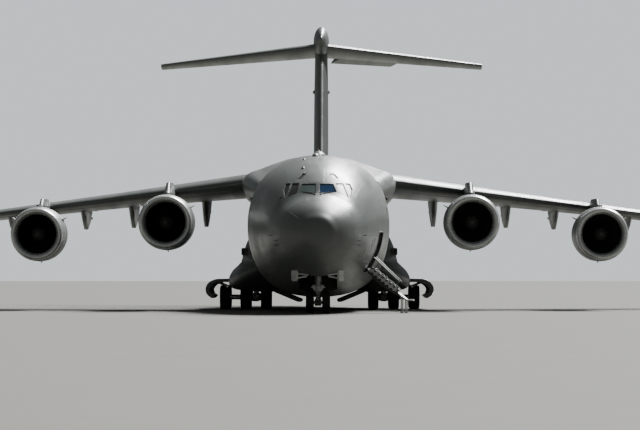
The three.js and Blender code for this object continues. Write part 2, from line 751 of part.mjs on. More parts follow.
// Lower step: hinged at the foot of the door, with its two props on the ground
const lowerStep = { start: 1.78, end: 2.34, plateOut: 0.3, props: [2.02, 2.28] };

function makeCrewDoor() {
  const { knuckle, pin, opening, length, stringer, plate } = stair;
  const { treads, railHeight, railEnd, railFoot, tube } = stair;
  const side = runningGap + 0.01;
  const shell = bodyForm(5.5, 8).subtract(bodyForm(5, 8.5, 0.1));
  const ends = [side, stairWidth - side];
  const closedPanel = mainBody(shell.intersect(doorwayPrism(runningGap)));
  const panel = turnSolid(closedPanel, stairHinge[0], stairHinge[1], opening)
    .intersect(framedBlock(stairs, [-far, far], ends, [-far, far]));
  const pieces = [panel];
  pieces.push(framedBlock(stairs, [0, 0.16], [side, stairWidth - stair.rearInset], [0, 0.12]));
  for (const u of sidePlates) {
    pieces.push(framedBlock(stairs, [0.1, length], [u, u + plate], [-0.02, stringer]));
    const middle = u + plate / 2;
    const lastPost = railFoot - 0.1;
    pieces.push(
      bar(onStair(-0.1, middle, railHeight), onStair(railFoot, middle, railEnd), tube, tube, 6),
      bar(onStair(0.25, middle, stringer - 0.05), onStair(0.25, middle, railHeight - 0.02), tube, tube, 6),
      bar(onStair(lastPost, middle, stringer - 0.05), onStair(lastPost, middle, railEnd), tube, tube, 6),
    );
  }
  for (let i = 0; i < treads; i += 1) {
    const p = 0.2 + (i * (length - 0.35)) / (treads - 1);
    const across = new THREE.Matrix4().extractRotation(stairs);
    const level = new THREE.Matrix4().makeRotationZ(Math.atan2(across.elements[1], across.elements[0]));
    const frame = level.setPosition(onStair(p, 0, 0.2));
    const width = [sidePlates[0] + 0.01, sidePlates[1] + plate - 0.01];
    pieces.push(framedBlock(frame, [-0.13, 0.13], width, [-0.02, 0.02]));
  }
  const hingeLine = hingeFrame(stairHinge[0], stairHinge[1], new THREE.Vector3(-1, 0, 0));
  let door = join(...pieces).add(framedBarrel(hingeLine, ends, knuckle, knuckle, stair.pinSides));
  const bore = boreRadius(pin, stair.pinSides);
  for (const u of [-0.1, stairWidth - 0.1]) {
    door = door.subtract(framedBarrel(hingeLine, [u, u + 0.2], bore, bore, stair.pinSides));
  }
  const foot = { p: lowerStep.start + 0.02, q: 0.12 };
  for (const u of sidePlates) {
    door = door.add(framedBarrel(stepLine(foot), [u, u + plate], 0.05, 0.05, stair.pinSides))
      .add(framedBlock(stairs, [length - 0.1, foot.p], [u, u + plate], [foot.q - 0.05, foot.q + 0.05]));
  }
  const between = [sidePlates[0] + plate, sidePlates[1]];
  door = door.subtract(framedBlock(stairs, [foot.p - 0.075, foot.p + 1], between, [-0.02, 1]));
  for (const u of sidePlates) {
    const reach = [u - 0.01, u + plate + 0.01];
    door = door.subtract(framedBarrel(stepLine(foot), reach, bore, bore, stair.pinSides));
  }
  addPiece('crew_door', door, 'greyPaint');
  makeLowerStep(foot, pin, between);
}

function stepLine({ p, q }) {
  const from = onStair(p, 0, q);
  return hingeFrame(from, onStair(p, stairWidth, q), new THREE.Vector3(1, 0, 0));
}

function makeLowerStep(foot, pin, between) {
  const { end, plateOut, props } = lowerStep;
  const inner = [between[0] + runningGap, between[1] - runningGap];
  const pinEnds = [between[0] - stair.plate + 0.005, between[1] + stair.plate - 0.005];
  const edge = onStair(end, 0, foot.q);
  let step = framedBlock(stairs, [foot.p, end], inner, [foot.q - 0.04, foot.q + 0.04])
    .add(framedBarrel(stepLine(foot), inner, 0.05, 0.05, stair.pinSides))
    .add(framedBarrel(stepLine(foot), pinEnds, pin, pin, stair.pinSides));
  const level = new THREE.Matrix4().extractRotation(stairs);
  const heading = Math.atan2(level.elements[1], level.elements[0]);
  const flat = new THREE.Matrix4().makeRotationZ(heading).setPosition(edge);
  step = step.add(framedBlock(flat, [-0.05, plateOut], inner, [-0.035, 0.035]));
  for (const p of props) {
    for (const u of [inner[0] + 0.05, inner[1] - 0.05]) {
      const top = onStair(p, u, foot.q);
      step = step.add(bar(top, new THREE.Vector3(top.x, top.y, 0), 0.03, 0.03, 6));
    }
  }
  addPiece('lower_step', step.subtract(block([-9, 0, -3], [9, 20, 0])), 'bareMetal');
}

// Lugs and pins on the sill that carry the stair door
function stairLugs() {
  const hingeLine = hingeFrame(stairHinge[0], stairHinge[1], new THREE.Vector3(-1, 0, 0));
  const lugs = [[-0.06, 0], [stairWidth, stairWidth + 0.06]].map(([u0, u1]) => {
    return framedBlock(hingeLine, [u0, u1], [-0.045, 0.14], [-0.045, 0.045]);
  });
  const pins = [[-0.03, 0.09], [stairWidth - 0.09, stairWidth + 0.03]].map((ends) => {
    return framedBarrel(hingeLine, ends, stair.pin, stair.pin, stair.pinSides);
  });
  return join(...lugs, ...pins);
}

// Rear fuselage with its ramp and cargo door

const ramp = {
  halfWidth: 2.45, front: 32.78, splitAt: [38.8, 2.7], splitLean: 0.407, hinge: { station: 32.82, z: 0.79 },
};
const cargoDoor = { rear: 44.2, halfRear: 1.35, hinge: { z: 4.95, lug: 1.27 } };

function splitStation(z, shift = 0) {
  return ramp.splitAt[0] - (z - ramp.splitAt[1]) * ramp.splitLean + shift;
}

function rampPrism(shrink) {
  const [low, high] = [0.3, 4.6];
  const front = ramp.front + shrink;
  const rearEdge = [low, high].map((z) => [splitStation(z, -shrink), z]);
  const outline = [[front, low], ...rearEdge, [front, high]];
  return slab('side', outline, -ramp.halfWidth + shrink, ramp.halfWidth - shrink);
}

function cargoDoorPrism(shrink) {
  const [low, high] = [0.3, 5.1];
  const rear = cargoDoor.rear - shrink;
  const frontEdge = [high, low].map((z) => [splitStation(z, shrink), z]);
  const outline = [...frontEdge, [rear, low], [rear, high]];
  const wide = ramp.halfWidth - shrink;
  const narrow = cargoDoor.halfRear - shrink;
  const leftEdge = [[wide, 37], [wide, 38.6], [narrow, cargoDoor.rear]];
  const plan = [...leftEdge, ...leftEdge.map(([x, station]) => [-x, station]).reverse()];
  return slab('side', outline, -3, 3).intersect(slab('plan', plan, 0, 6));
}

function crossBar(x0, x1, station, z, radius, sides = 16) {
  return bar(at(x0, station, z), at(x1, station, z), radius, radius, sides);
}

function makeRearBody() {
  const hollow = bodyForm(barrelEnd - 0.1, 46.3, rearWall);
  const whole = bodyForm(barrelEnd + seatGap, tailConeEnd).subtract(hollow);
  let shell = whole.subtract(rampPrism(0)).subtract(cargoDoorPrism(0));
  let rampPanel = mainBody(whole.intersect(rampPrism(runningGap)));
  let door = mainBody(whole.intersect(cargoDoorPrism(runningGap)));
  const { station, z } = ramp.hinge;
  const bore = boreRadius(0.03, 16);
  for (const side of [-1, 1]) {
    const barrel = [side * 0.6, side * 1.138].sort((a, b) => a - b);
    const lug = [side * 1.15, side * 1.25].sort((a, b) => a - b);
    const pin = [side * 1.02, side * 1.2].sort((a, b) => a - b);
    const pinHole = [side * 1.01, side * 1.3].sort((a, b) => a - b);
    rampPanel = rampPanel.add(crossBar(...barrel, station, z, 0.05))
      .add(block([barrel[0], station, z - 0.03], [barrel[1], station + 0.3, z + 0.14]))
      .subtract(crossBar(...pinHole, station, z, bore));
    shell = shell.add(block([lug[0], 32.3, z - 0.04], [lug[1], ramp.front - 0.03, z + 0.2]))
      .add(block([lug[0], ramp.front - 0.1, z - 0.05], [lug[1], station + 0.05, z + 0.05]))
      .add(crossBar(...pin, station, z, 0.03));
  }
  const pivot = cargoDoor.hinge;
  for (const side of [-1, 1]) {
    const lug = [side * (pivot.lug - 0.07), side * (pivot.lug + 0.06)].sort((a, b) => a - b);
    const bracket = [side * (pivot.lug + 0.13), side * 1.56].sort((a, b) => a - b);
    const pin = [side * (pivot.lug - 0.02), side * (pivot.lug + 0.16)].sort((a, b) => a - b);
    const pinHole = [side * (pivot.lug - 0.03), side * (pivot.lug + 0.12)].sort((a, b) => a - b);
    door = door.add(block([lug[0], 44.08, 4.62], [lug[1], cargoDoor.rear - runningGap, pivot.z]))
      .add(crossBar(...lug, cargoDoor.rear - 0.06, pivot.z, 0.06))
      .subtract(crossBar(...pinHole, cargoDoor.rear - 0.06, pivot.z, bore));
    shell = shell.add(block([bracket[0], 44.08, pivot.z - 0.06], [bracket[1], 44.3, pivot.z + 0.06]))
      .add(crossBar(...pin, cargoDoor.rear - 0.06, pivot.z, 0.03));
  }
  addPiece('rear_fuselage', shell, 'greyPaint');
  addPiece('cargo_ramp', rampPanel, 'greyPaint');
  addPiece('cargo_door', door, 'greyPaint');
}

function makeBarrel() {
  const hold = bodyForm(cockpitEnd - 0.5, barrelEnd + 0.5, barrelWall);
  const shell = bodyForm(cockpitEnd + seatGap, barrelEnd).subtract(hold);
  addPiece('fuselage_barrel', shell.subtract(grownWing).subtract(mirrorSolid(grownWing)), 'greyPaint');
}

// Wing root fairing: half outline of left distance and height, and its size along the stations
const rootOutline = [
  [0, 7.8], [1.3, 7.7], [2.1, 7.47], [2.9, 7.17], [3.6, 6.9], [3.86, 6.4], [3.74, 5.9], [3.3, 5.5], [0, 5.3],
];
const rootSizes = [
  [11.4, 0.795], [12.4, 0.84], [13.6, 0.895], [15.2, 0.96], [17.0, 1], [26.5, 1], [28.6, 0.965], [30.8, 0.9],
];

function makeRootFairing() {
  const centre = 4.16;
  const rings = rootSizes.map(([station, size]) => {
    const half = rootOutline.map(([x, z]) => [x * size, centre + (z - centre) * size]);
    const other = half.slice(1, -1).reverse().map(([x, z]) => [-x, z]);
    return [...half, ...other].map(([x, z]) => at(x, station, z));
  });
  const saddle = mainBody(loft(rings).subtract(bodyForm(10.9, 32, -seatGap)));
  addPiece('wing_root_fairing', saddle.subtract(grownWing).subtract(mirrorSolid(grownWing)), 'greyPaint');
}

// Landing gear

const mainGear = {
  stations: [24.1, 26.8], tyreCentres: [2.84, 3.92, 5.0], tyreRadius: 0.635, tyreHalf: 0.2665,
  legX: 3.38, legRadius: 0.15, collarRadius: 0.23, spindle: 0.13, sides: 12,
};
const noseGear = {
  station: 5.4, wheelX: 0.38, tyreRadius: 0.508, tyreHalf: 0.19, spindle: 0.07, legRadius: 0.16, sides: 12,
};
const well = { front: 22.7, rear: 28.2, roof: 2.2, outer: 4.45, sill: 1.62 };

// Wheel profile columns: share of the tyre radius, share of its half width
const wheelProfile = [[0.42, 0.5], [0.8, 1], [1, 0.6]];

// A row of tyres on one spindle that lies across the aircraft. Flats of the tread rest on the ground
function wheelRow(centres, spec, station) {
  const outerRadius = spec.tyreRadius / Math.cos(Math.PI / spec.sides);
  const profile = [[0, centres[0] - spec.tyreHalf * 0.6], [spec.spindle, centres[0] - spec.tyreHalf * 0.6]];
  for (const centre of centres) {
    const half = wheelProfile.map(([r, w]) => [r * outerRadius, w * spec.tyreHalf]);
    profile.push([spec.spindle, centre - half[0][1]]);
    profile.push(...half.map(([r, w]) => [r, centre - w]));
    profile.push(...half.reverse().map(([r, w]) => [r, centre + w]));
    profile.push([spec.spindle, centre + 0.5 * spec.tyreHalf]);
  }
  const end = centres.at(-1) + spec.tyreHalf * 0.6;
  profile.push([spec.spindle, end], [0, end]);
  const points = profile.map(([r, along]) => new THREE.Vector2(r, along));
  const geometry = new THREE.LatheGeometry(points, spec.sides);
  geometry.rotateY(Math.PI / spec.sides);
  geometry.rotateZ(-Math.PI / 2);
  const place = at(0, station, spec.tyreRadius);
  geometry.translate(place.x, place.y, place.z);
  const solid = solidOf(geometry);
  if (solid.volume() > 0) {
    return solid;
  }
  const index = geometry.index.array;
  for (let i = 0; i < index.length; i += 3) {
    [index[i], index[i + 1]] = [index[i + 1], index[i]];
  }
  return solidOf(geometry);
}

function makeMainGear() {
  const { stations, tyreCentres, tyreRadius, legX, legRadius, collarRadius, spindle, sides } = mainGear;
  const bore = boreRadius(spindle, sides);
  const places = ['front', 'rear'];
  stations.forEach((station, i) => {
    const wheels = wheelRow(tyreCentres, mainGear, station);
    const top = well.roof - seatGap;
    const brace = (along) => {
      return bar(at(legX, station, 1.15), at(legX, station + along, top + 0.1), 0.07, 0.07, 8);
    };
    const pistonRadius = legRadius * 0.75;
    const collar = crossBar(legX - 0.15, legX + 0.15, station, tyreRadius, collarRadius, sides);
    const leg = bar(at(legX, station, tyreRadius), at(legX, station, 1.35), pistonRadius, pistonRadius, 14)
      .add(bar(at(legX, station, 1.25), at(legX, station, top), legRadius, legRadius, 14))
      .add(brace(i === 0 ? -0.85 : 0.85))
      .add(block([legX - 0.05, station - 0.34, 0.95], [legX + 0.05, station, 1.03]))
      .add(collar)
      .subtract(crossBar(legX - 1, legX + 1, station, tyreRadius, bore, sides))
      .subtract(block([0, 20, top], [6, 30, 4]));
    addPiece(`main_wheels_${places[i]}_left`, wheels, 'tyreRubber');
    addPiece(`main_wheels_${places[i]}_right`, mirrorSolid(wheels), 'tyreRubber');
    addPiece(`main_leg_${places[i]}_left`, leg, 'whitePaint');
    addPiece(`main_leg_${places[i]}_right`, mirrorSolid(leg), 'whitePaint');
  });
}

// Sponson section at full size, as left distance and height, and its size along the stations
const sponsonOutline = [
  [2.6, 4.2], [3.3, 4.15], [3.7, 3.6], [3.96, 2.9], [4.05, 2.47], [4.5, 2.02], [4.7, 1.54], [4.5, 1.12],
  [3.7, 0.98], [2.3, 0.95], [1.9, 1.5],
];
const sponsonSizes = [
  [17.4, 0.1], [18.2, 0.5], [19.4, 0.82], [20.9, 1], [29.2, 1], [30.9, 0.86], [32.3, 0.55], [33.2, 0.12],
];
const sponsonAnchor = [2.7, 2.3];

function makeSponson() {
  const [anchorX, anchorZ] = sponsonAnchor;
  const rings = sponsonSizes.map(([station, size]) => sponsonOutline.map(([x, z]) => {
    return at(anchorX + (x - anchorX) * size, station, anchorZ + (z - anchorZ) * size);
  }));
  const whole = loft(rings).subtract(bodyForm(15, 35, -seatGap));
  const opened = whole
    .subtract(block([1.5, well.front, 0], [well.outer, well.rear, well.roof]))
    .subtract(block([1.5, well.front, 0], [6, well.rear, well.sill]));
  addPiece('sponson_left', opened, 'greyPaint');
  addPiece('sponson_right', mirrorSolid(mainBody(opened)), 'greyPaint');
}

// Gear doors: outlines of left distance and height, seen from the front
const outerDoorOutline = [
  [4.47, 1.43], [5.25, 1.43], [5.58, 1.31], [5.76, 1.08], [5.7, 0.86], [5.5, 0.72],
  [5.62, 0.58], [5.9, 0.78], [5.98, 1.1], [5.8, 1.42], [5.35, 1.6], [4.47, well.sill - seatGap],
];
const innerDoorOutline = [
  [2.5, 1.6], [2.42, 0.95], [1.05, 0.38], [0.93, 0.42], [0.95, 0.54], [2.22, 1.06], [2.34, 1.6],
];
const noseDoor = { plan: [[0.9, 2.5], [0.965, 2.465], [1.21, 2.925], [1.145, 2.96]], foot: 1.5, head: 2.5 };

function makeGearDoors() {
  const length = [well.front + 0.1, well.rear - 0.1];
  const outer = slab('front', outerDoorOutline, ...length);
  const inner = slab('front', innerDoorOutline, ...length).subtract(bodyForm(15, 31, -seatGap));
  const nose = slab('plan', noseDoor.plan, noseDoor.foot, noseDoor.head).subtract(outerBody);
  const doors = { main_outer_door: outer, main_inner_door: inner, nose_gear_door: nose };
  for (const [name, solid] of Object.entries(doors)) {
    const lowest = solid.decompose().reduce((low, part) => {
      return part.boundingBox().min[2] < low.boundingBox().min[2] ? part : low;
    });
    addPiece(`${name}_left`, lowest, 'greyPaint');
    addPiece(`${name}_right`, mirrorSolid(lowest), 'greyPaint');
  }
}

function makeNoseGear() {
  const { station, wheelX, tyreRadius, spindle, legRadius, sides } = noseGear;
  const top = noseBay.roof - seatGap;
  const joint = 1.0;
  const spigot = { radius: 0.09, top: 1.4 };
  const bore = boreRadius(spigot.radius, 16);
  const upright = (from, to, radius, count = 16) => {
    return bar(at(0, station, from), at(0, station, to), radius, radius, count);
  };
  const leg = upright(joint, top, legRadius)
    .add(bar(at(0, station, 1.3), at(0, station - 1.3, top + 0.2), 0.08, 0.08, 8))
    .add(block([-0.34, station - 0.06, 1.16], [0.34, station + 0.06, 1.26]))
    .subtract(upright(joint - 0.1, spigot.top + seatGap, bore))
    .subtract(block([-1, 0, top], [1, 9, 4]));
  const steering = upright(tyreRadius, joint - seatGap, 0.13)
    .add(upright(joint - 0.1, spigot.top, spigot.radius))
    .add(block([-0.05, station - 0.3, 0.62], [0.05, station, 0.7]))
    .add(block([-0.04, station - 0.3, 0.62], [0.04, station - 0.24, 0.96]))
    .add(block([-0.05, station - 0.3, 0.88], [0.05, station, 0.96]))
    .add(crossBar(-0.16, 0.16, station, tyreRadius, 0.16, sides))
    .subtract(crossBar(-1, 1, station, tyreRadius, boreRadius(spindle, sides), sides));
  addPiece('nose_leg', leg, 'whitePaint');
  addPiece('nose_steering', steering, 'whitePaint');
  addPiece('nose_wheels', wheelRow([-wheelX, wheelX], noseGear, station), 'tyreRubber');
}

// Tail

// Fin section columns: height, nose station, chord, thickness ratio
const finSections = [
  [6.3, 37.0, 11.2, 0.05],
  [7.5, 37.6, 10.95, 0.06],
  [8.1, 39.7, 9.05, 0.094],
  [15.4, 45.6, 5.4, 0.14],
];
const stabiliser = {
  noseStation: 45.0, tipStation: 50.683, halfSpan: 9.905, rootHeight: 15.5, tipHeight: 14.75,
  rootChord: 5.6, tipChord: 2.36, ratio: 0.12, incidence: 3,
};

function finForm(grow = 0) {
  return loft(finSections.map(([z, station, chord, ratio]) => {
    return sectionRing({ nose: at(0, station, z), chord, ratio, lean: 90, grow });
  }));
}

function finAt(z) {
  const [, , low, high] = finSections;
  const share = (z - low[0]) / (high[0] - low[0]);
  return low.map((value, column) => value + (high[column] - value) * share);
}

function finHinge(z, share) {
  const [, station, chord, ratio] = finAt(z);
  return { point: at(0, station + chord * share, z), half: ratio * chord * sectionThickness(share) };
}

function stabAt(x) {
  const s = stabiliser;
  const share = Math.abs(x) / s.halfSpan;
  const mix = (a, b) => a + (b - a) * share;
  return {
    nose: at(x, mix(s.noseStation, s.tipStation), mix(s.rootHeight, s.tipHeight)),
    chord: mix(s.rootChord, s.tipChord),
    ratio: s.ratio,
    incidence: s.incidence,
  };
}

function stabForm(grow = 0) {
  const { halfSpan } = stabiliser;
  return loft([-halfSpan, 0, halfSpan].map((x) => sectionRing({ ...stabAt(x), grow })));
}

function stabHinge(x, share) {
  const { nose, chord, ratio, incidence } = stabAt(x);
  const drop = Math.sin(THREE.MathUtils.degToRad(incidence)) * chord * share;
  const point = nose.clone().add(new THREE.Vector3(0, chord * share, -drop));
  return { point, half: ratio * chord * sectionThickness(share) };
}

const rudders = { share: 0.66, spans: { rudder_lower: [8.3, 11.42], rudder_upper: [11.54, 14.75] } };
const elevators = {
  share: 0.68, spans: { elevator_inner: [1.08, 4.69], elevator_outer: [4.81, 9.5] }, droop: 11,
};

// Bullet fairing section columns: station, half width, bottom, top
const bulletSections = [
  [43.9, 0.05, 15.75, 15.95],
  [44.4, 0.28, 15.3, 16.3],
  [45.3, 0.43, 15.0, 16.64],
  [46.8, 0.47, 14.9, overallHeight],
  [48.6, 0.47, 14.9, overallHeight - 0.04],
  [50.2, 0.36, 15.05, 16.45],
  [51.6, 0.06, 15.6, 15.9],
];

function surfaceBetween(whole, hingeAt, spans, share) {
  const [inner, outer] = spans.map((place) => hingeAt(place, share));
  const cut = cutSurface(whole, { from: inner.point, to: outer.point, r0: inner.half, r1: outer.half });
  return { ...cut, hinge: [inner.point, outer.point] };
}

function makeTail() {
  const grownStab = stabForm(seatGap);
  let fin = finForm().subtract(bodyForm(30, tailConeEnd, -seatGap)).subtract(grownStab);
  for (const [name, spans] of Object.entries(rudders.spans)) {
    const cut = surfaceBetween(fin, finHinge, spans, rudders.share);
    fin = cut.fixed;
    addPiece(name, cut.moving, 'greyPaint');
  }
  addPiece('fin', fin, 'greyPaint');

  let tailplane = stabForm();
  for (const [name, spans] of Object.entries(elevators.spans)) {
    const left = surfaceBetween(tailplane, stabHinge, spans, elevators.share);
    const right = surfaceBetween(mirrorSolid(left.fixed), stabHinge, spans, elevators.share);
    tailplane = mirrorSolid(right.fixed);
    const level = mainBody(left.moving);
    const drooped = name === 'elevator_inner' ? turnSolid(level, ...left.hinge, -elevators.droop) : level;
    addPiece(`${name}_left`, drooped, 'greyPaint');
    addPiece(`${name}_right`, mirrorSolid(level), 'greyPaint');
  }
  addPiece('tailplane', tailplane, 'greyPaint');

  const rings = bulletSections.map(([station, half, bottom, top]) => Array.from({ length: 16 }, (_, i) => {
    const angle = (2 * Math.PI * i) / 16;
    const rise = (top - bottom) / 2;
    return at(half * Math.cos(angle), station, bottom + rise + rise * Math.sin(angle));
  }));
  addPiece('tail_bullet', loft(rings).subtract(finForm(seatGap)).subtract(grownStab), 'greyPaint');
}

makeRadome();
makeCockpit();
makeGlazing();
makeFlightDeck();
makeCrewDoor();
makeCargoFloor();
makeBarrel();
makeRearBody();
makeRootFairing();
makeWing();
for (const [name, engine] of Object.entries(engines)) {
  for (const side of [1, -1]) {
    const label = side > 0 ? 'left' : 'right';
    makeNacelle(`nacelle_${name}_${label}`, { ...engine, x: side * engine.x });
    makeFan(`fan_${name}_${label}`, { ...engine, x: side * engine.x });
  }
}
makeSponson();
makeMainGear();
makeGearDoors();
makeNoseGear();
makeTail();

export default plane;
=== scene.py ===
import json
import math
from math import cos, sin, pi, radians

import bpy
import bmesh
from mathutils import Matrix, Vector
from mathutils.bvhtree import BVHTree
from mathutils.geometry import barycentric_transform


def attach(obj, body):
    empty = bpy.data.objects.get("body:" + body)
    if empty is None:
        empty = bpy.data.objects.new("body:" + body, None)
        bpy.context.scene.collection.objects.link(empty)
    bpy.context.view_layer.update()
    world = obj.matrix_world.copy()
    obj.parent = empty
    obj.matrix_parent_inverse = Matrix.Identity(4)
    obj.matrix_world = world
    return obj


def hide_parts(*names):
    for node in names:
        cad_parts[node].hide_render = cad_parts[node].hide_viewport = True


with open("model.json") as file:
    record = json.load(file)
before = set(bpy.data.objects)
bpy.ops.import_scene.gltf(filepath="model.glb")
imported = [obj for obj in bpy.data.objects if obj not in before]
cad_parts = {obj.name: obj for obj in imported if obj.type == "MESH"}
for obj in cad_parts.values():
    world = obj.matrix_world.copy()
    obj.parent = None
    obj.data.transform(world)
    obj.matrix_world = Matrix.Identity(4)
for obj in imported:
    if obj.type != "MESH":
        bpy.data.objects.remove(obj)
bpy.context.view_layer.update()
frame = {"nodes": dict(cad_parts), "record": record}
cadNodes = frame["nodes"]
scene = bpy.context.scene

# Sizes below are those of the full-size aircraft, drawn at half size
modelScale = 0.5
overallLength = 53.04
axesXyz = axisX, axisY, axisZ = Vector((1, 0, 0)), Vector((0, 1, 0)), Vector((0, 0, 1))
bothSides = (("left", 1), ("right", -1))


def at(x, station, z):
    return Vector((x, station - overallLength / 2, z)) * modelScale


def between(a, b, share):
    return a + (b - a) * share


def mixRows(rowA, rowB, share):
    return [between(a, b, share) for a, b in zip(rowA, rowB)]


def turns(count):
    return [2 * pi * i / count for i in range(count)]


def smoothTable(rows):
    # A smooth curve through every column of a table whose first column rises, without overshoot
    xs, *columns = zip(*rows)
    gaps = [b - a for a, b in zip(xs, xs[1:])]
    slopes = []
    for values in columns:
        steps = [(b - a) / gap for a, b, gap in zip(values, values[1:], gaps)]
        slope = [steps[0]]
        for k in range(1, len(steps)):
            a, b = steps[k - 1], steps[k]
            w0, w1 = 2 * gaps[k] + gaps[k - 1], gaps[k] + 2 * gaps[k - 1]
            slope.append((w0 + w1) / (w0 / a + w1 / b) if a * b > 0 else 0.0)
        slopes.append(slope + [steps[-1]])

    def sample(x):
        x = min(max(x, xs[0]), xs[-1])
        k = 0
        while k < len(xs) - 2 and x > xs[k + 1]:
            k += 1
        h = gaps[k]
        t = (x - xs[k]) / h
        h00, h10 = 2 * t ** 3 - 3 * t ** 2 + 1, t ** 3 - 2 * t ** 2 + t
        h01, h11 = -2 * t ** 3 + 3 * t ** 2, t ** 3 - t ** 2
        return [h00 * values[k] + h10 * h * slope[k] + h01 * values[k + 1] + h11 * h * slope[k + 1]
                for values, slope in zip(columns, slopes)]
    return sample


def placeOn(values, position):
    # The value at a fractional place in a list
    k = min(max(int(position), 0), len(values) - 2)
    return between(values[k], values[k + 1], position - k)


def roundedLoop(points, position):
    # A closed smooth line through points, read at a fractional place
    k = math.floor(position)
    t = position - k
    near = [points[(k + j) % len(points)] for j in (-1, 0, 1, 2)]
    return [0.5 * (2 * b + (c - a) * t + (2 * a - 5 * b + 4 * c - d) * t * t
                   + (3 * b - a - 3 * c + d) * t ** 3)
            for a, b, c, d in zip(*near)]


# Meshes

def placePiece(name, mesh, materials, slot, body, node):
    # Puts a mesh on its body, and in the place of a CAD node where one is named
    for entry in materials.split():
        mesh.materials.append(bpy.data.materials[entry])
    piece = bpy.data.objects.new(name, mesh)
    scene.collection.objects.link(piece)
    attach(piece, body)
    if node:
        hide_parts(node)


def newPiece(name, bm, materials, slot, smoothAngle=38, node=None, body="airframe", doubles=1e-6):
    if doubles:
        tidy(bm, doubles)
    mesh = bpy.data.meshes.new(name)
    bm.to_mesh(mesh)
    bm.free()
    mesh.shade_smooth()
    mesh.set_sharp_from_angle(angle=radians(smoothAngle))
    placePiece(name, mesh, materials, slot, body, node)


def tidy(bm, doubles):
    bmesh.ops.remove_doubles(bm, verts=bm.verts, dist=doubles)
    outwards(bm)


def outwards(bm):
    bmesh.ops.recalc_face_normals(bm, faces=bm.faces)
    return bm


def gridFaces(bm, rings, closed=True, capped=False, index=0):
    # Quads through rings of equally many points, with fans at the ends where asked
    rows = [[bm.verts.new(p) for p in ring] for ring in rings]
    count = len(rows[0])
    around = [(i, (i + 1) % count) for i in range(count if closed else count - 1)]
    faces = [bm.faces.new((a[i], a[j], b[j], b[i])) for a, b in zip(rows, rows[1:]) for i, j in around]
    for row in (rows[0], rows[-1]) if capped else ():
        middle = bm.verts.new(sum((v.co for v in row), Vector()) / count)
        faces += [bm.faces.new((middle, row[i], row[j])) for i, j in around]
    for face in faces:
        face.material_index = index
    return rows


def crossAxes(along):
    # Two directions square to an axis and to each other
    side = along.cross(axisZ if abs(along.z) < 0.9 else axisX).normalized()
    return side, along.cross(side)


def turnAbout(start, axis, degrees):
    return Matrix.Translation(start) @ Matrix.Rotation(radians(degrees), 4, axis) @ Matrix.Translation(-start)


def addTube(bm, path, radius, sides=10, index=0, capped=True):
    # A round tube along points; radius may be one number or one for each point
    points = [Vector(p) for p in path]
    radii = radius if isinstance(radius, list) else [radius] * len(points)
    side = crossAxes((points[1] - points[0]).normalized())[0]
    rings = []
    for k, p in enumerate(points):
        along = (points[min(k + 1, len(points) - 1)] - points[max(k - 1, 0)]).normalized()
        side = (side - along * side.dot(along)).normalized()
        up = along.cross(side)
        rings.append([p + (side * cos(t) + up * sin(t)) * radii[k] for t in turns(sides)])
    gridFaces(bm, rings, capped=capped, index=index)


def addRod(bm, spots, radius, sides=12, index=0):
    # A tube through points of left distance, station and height
    addTube(bm, [at(*spot) for spot in spots], radius, sides, index)


def addMesh(bm, part, index=None):
    # Copies one mesh into another and frees it
    links = {v: bm.verts.new(v.co) for v in part.verts}
    for face in part.faces:
        made = bm.faces.new([links[v] for v in face.verts])
        made.material_index = face.material_index if index is None else index
    part.free()


def bevelled(part, bevel):
    if bevel:
        bmesh.ops.bevel(part, geom=list(part.edges), offset=bevel, segments=2, affect="EDGES", profile=0.7)
    return outwards(part)


def addBox(bm, centre, axes, halfSizes, bevel=0.0, index=0):
    # A block with bevelled edges on three unit vectors; its half sizes are full-size ones
    x, y, z = [Vector(a) * (h * modelScale) for a, h in zip(axes, halfSizes)]
    part = bmesh.new()
    corners = [part.verts.new(Vector(centre) + x * sx + y * sy + z * sz)
               for sx in (-1, 1) for sy in (-1, 1) for sz in (-1, 1)]
    for quad in ((0, 1, 3, 2), (4, 6, 7, 5), (0, 4, 5, 1), (2, 3, 7, 6), (0, 2, 6, 4), (1, 5, 7, 3)):
        part.faces.new([corners[k] for k in quad])
    addMesh(bm, bevelled(part, bevel), index)


def addOutline(bm, outline, depth, index=0, bevel=0.0):
    # A flat outline of points pushed along a vector
    part = bmesh.new()
    face = part.faces.new([part.verts.new(Vector(p)) for p in outline])
    pushed = bmesh.ops.extrude_face_region(part, geom=[face])["geom"]
    bmesh.ops.translate(part, verts=[v for v in pushed if isinstance(v, bmesh.types.BMVert)], vec=depth)
    addMesh(bm, bevelled(part, bevel), index)


def addShell(bm, outer, inner, index=0):
    # A plate between two grids of points, closed round its rim
    part = bmesh.new()
    rims = []
    for grid in (outer, inner):
        rows = gridFaces(part, grid, closed=False)
        rims.append([row[0] for row in rows] + rows[-1][1:] + [row[-1] for row in rows[-2::-1]]
                    + rows[0][-2:0:-1])
    for k, (a, b) in enumerate(zip(*rims)):
        part.faces.new((rims[0][k - 1], a, b, rims[1][k - 1]))
    addMesh(bm, outwards(part), index)


def addBall(bm, spot, radius, sides=12):
    bmesh.ops.create_uvsphere(bm, u_segments=sides, v_segments=8, radius=radius,
                              matrix=Matrix.Translation(spot))


# Smooth forms: each is a coarse loft that matches the solids, and a finer surface read at the same place

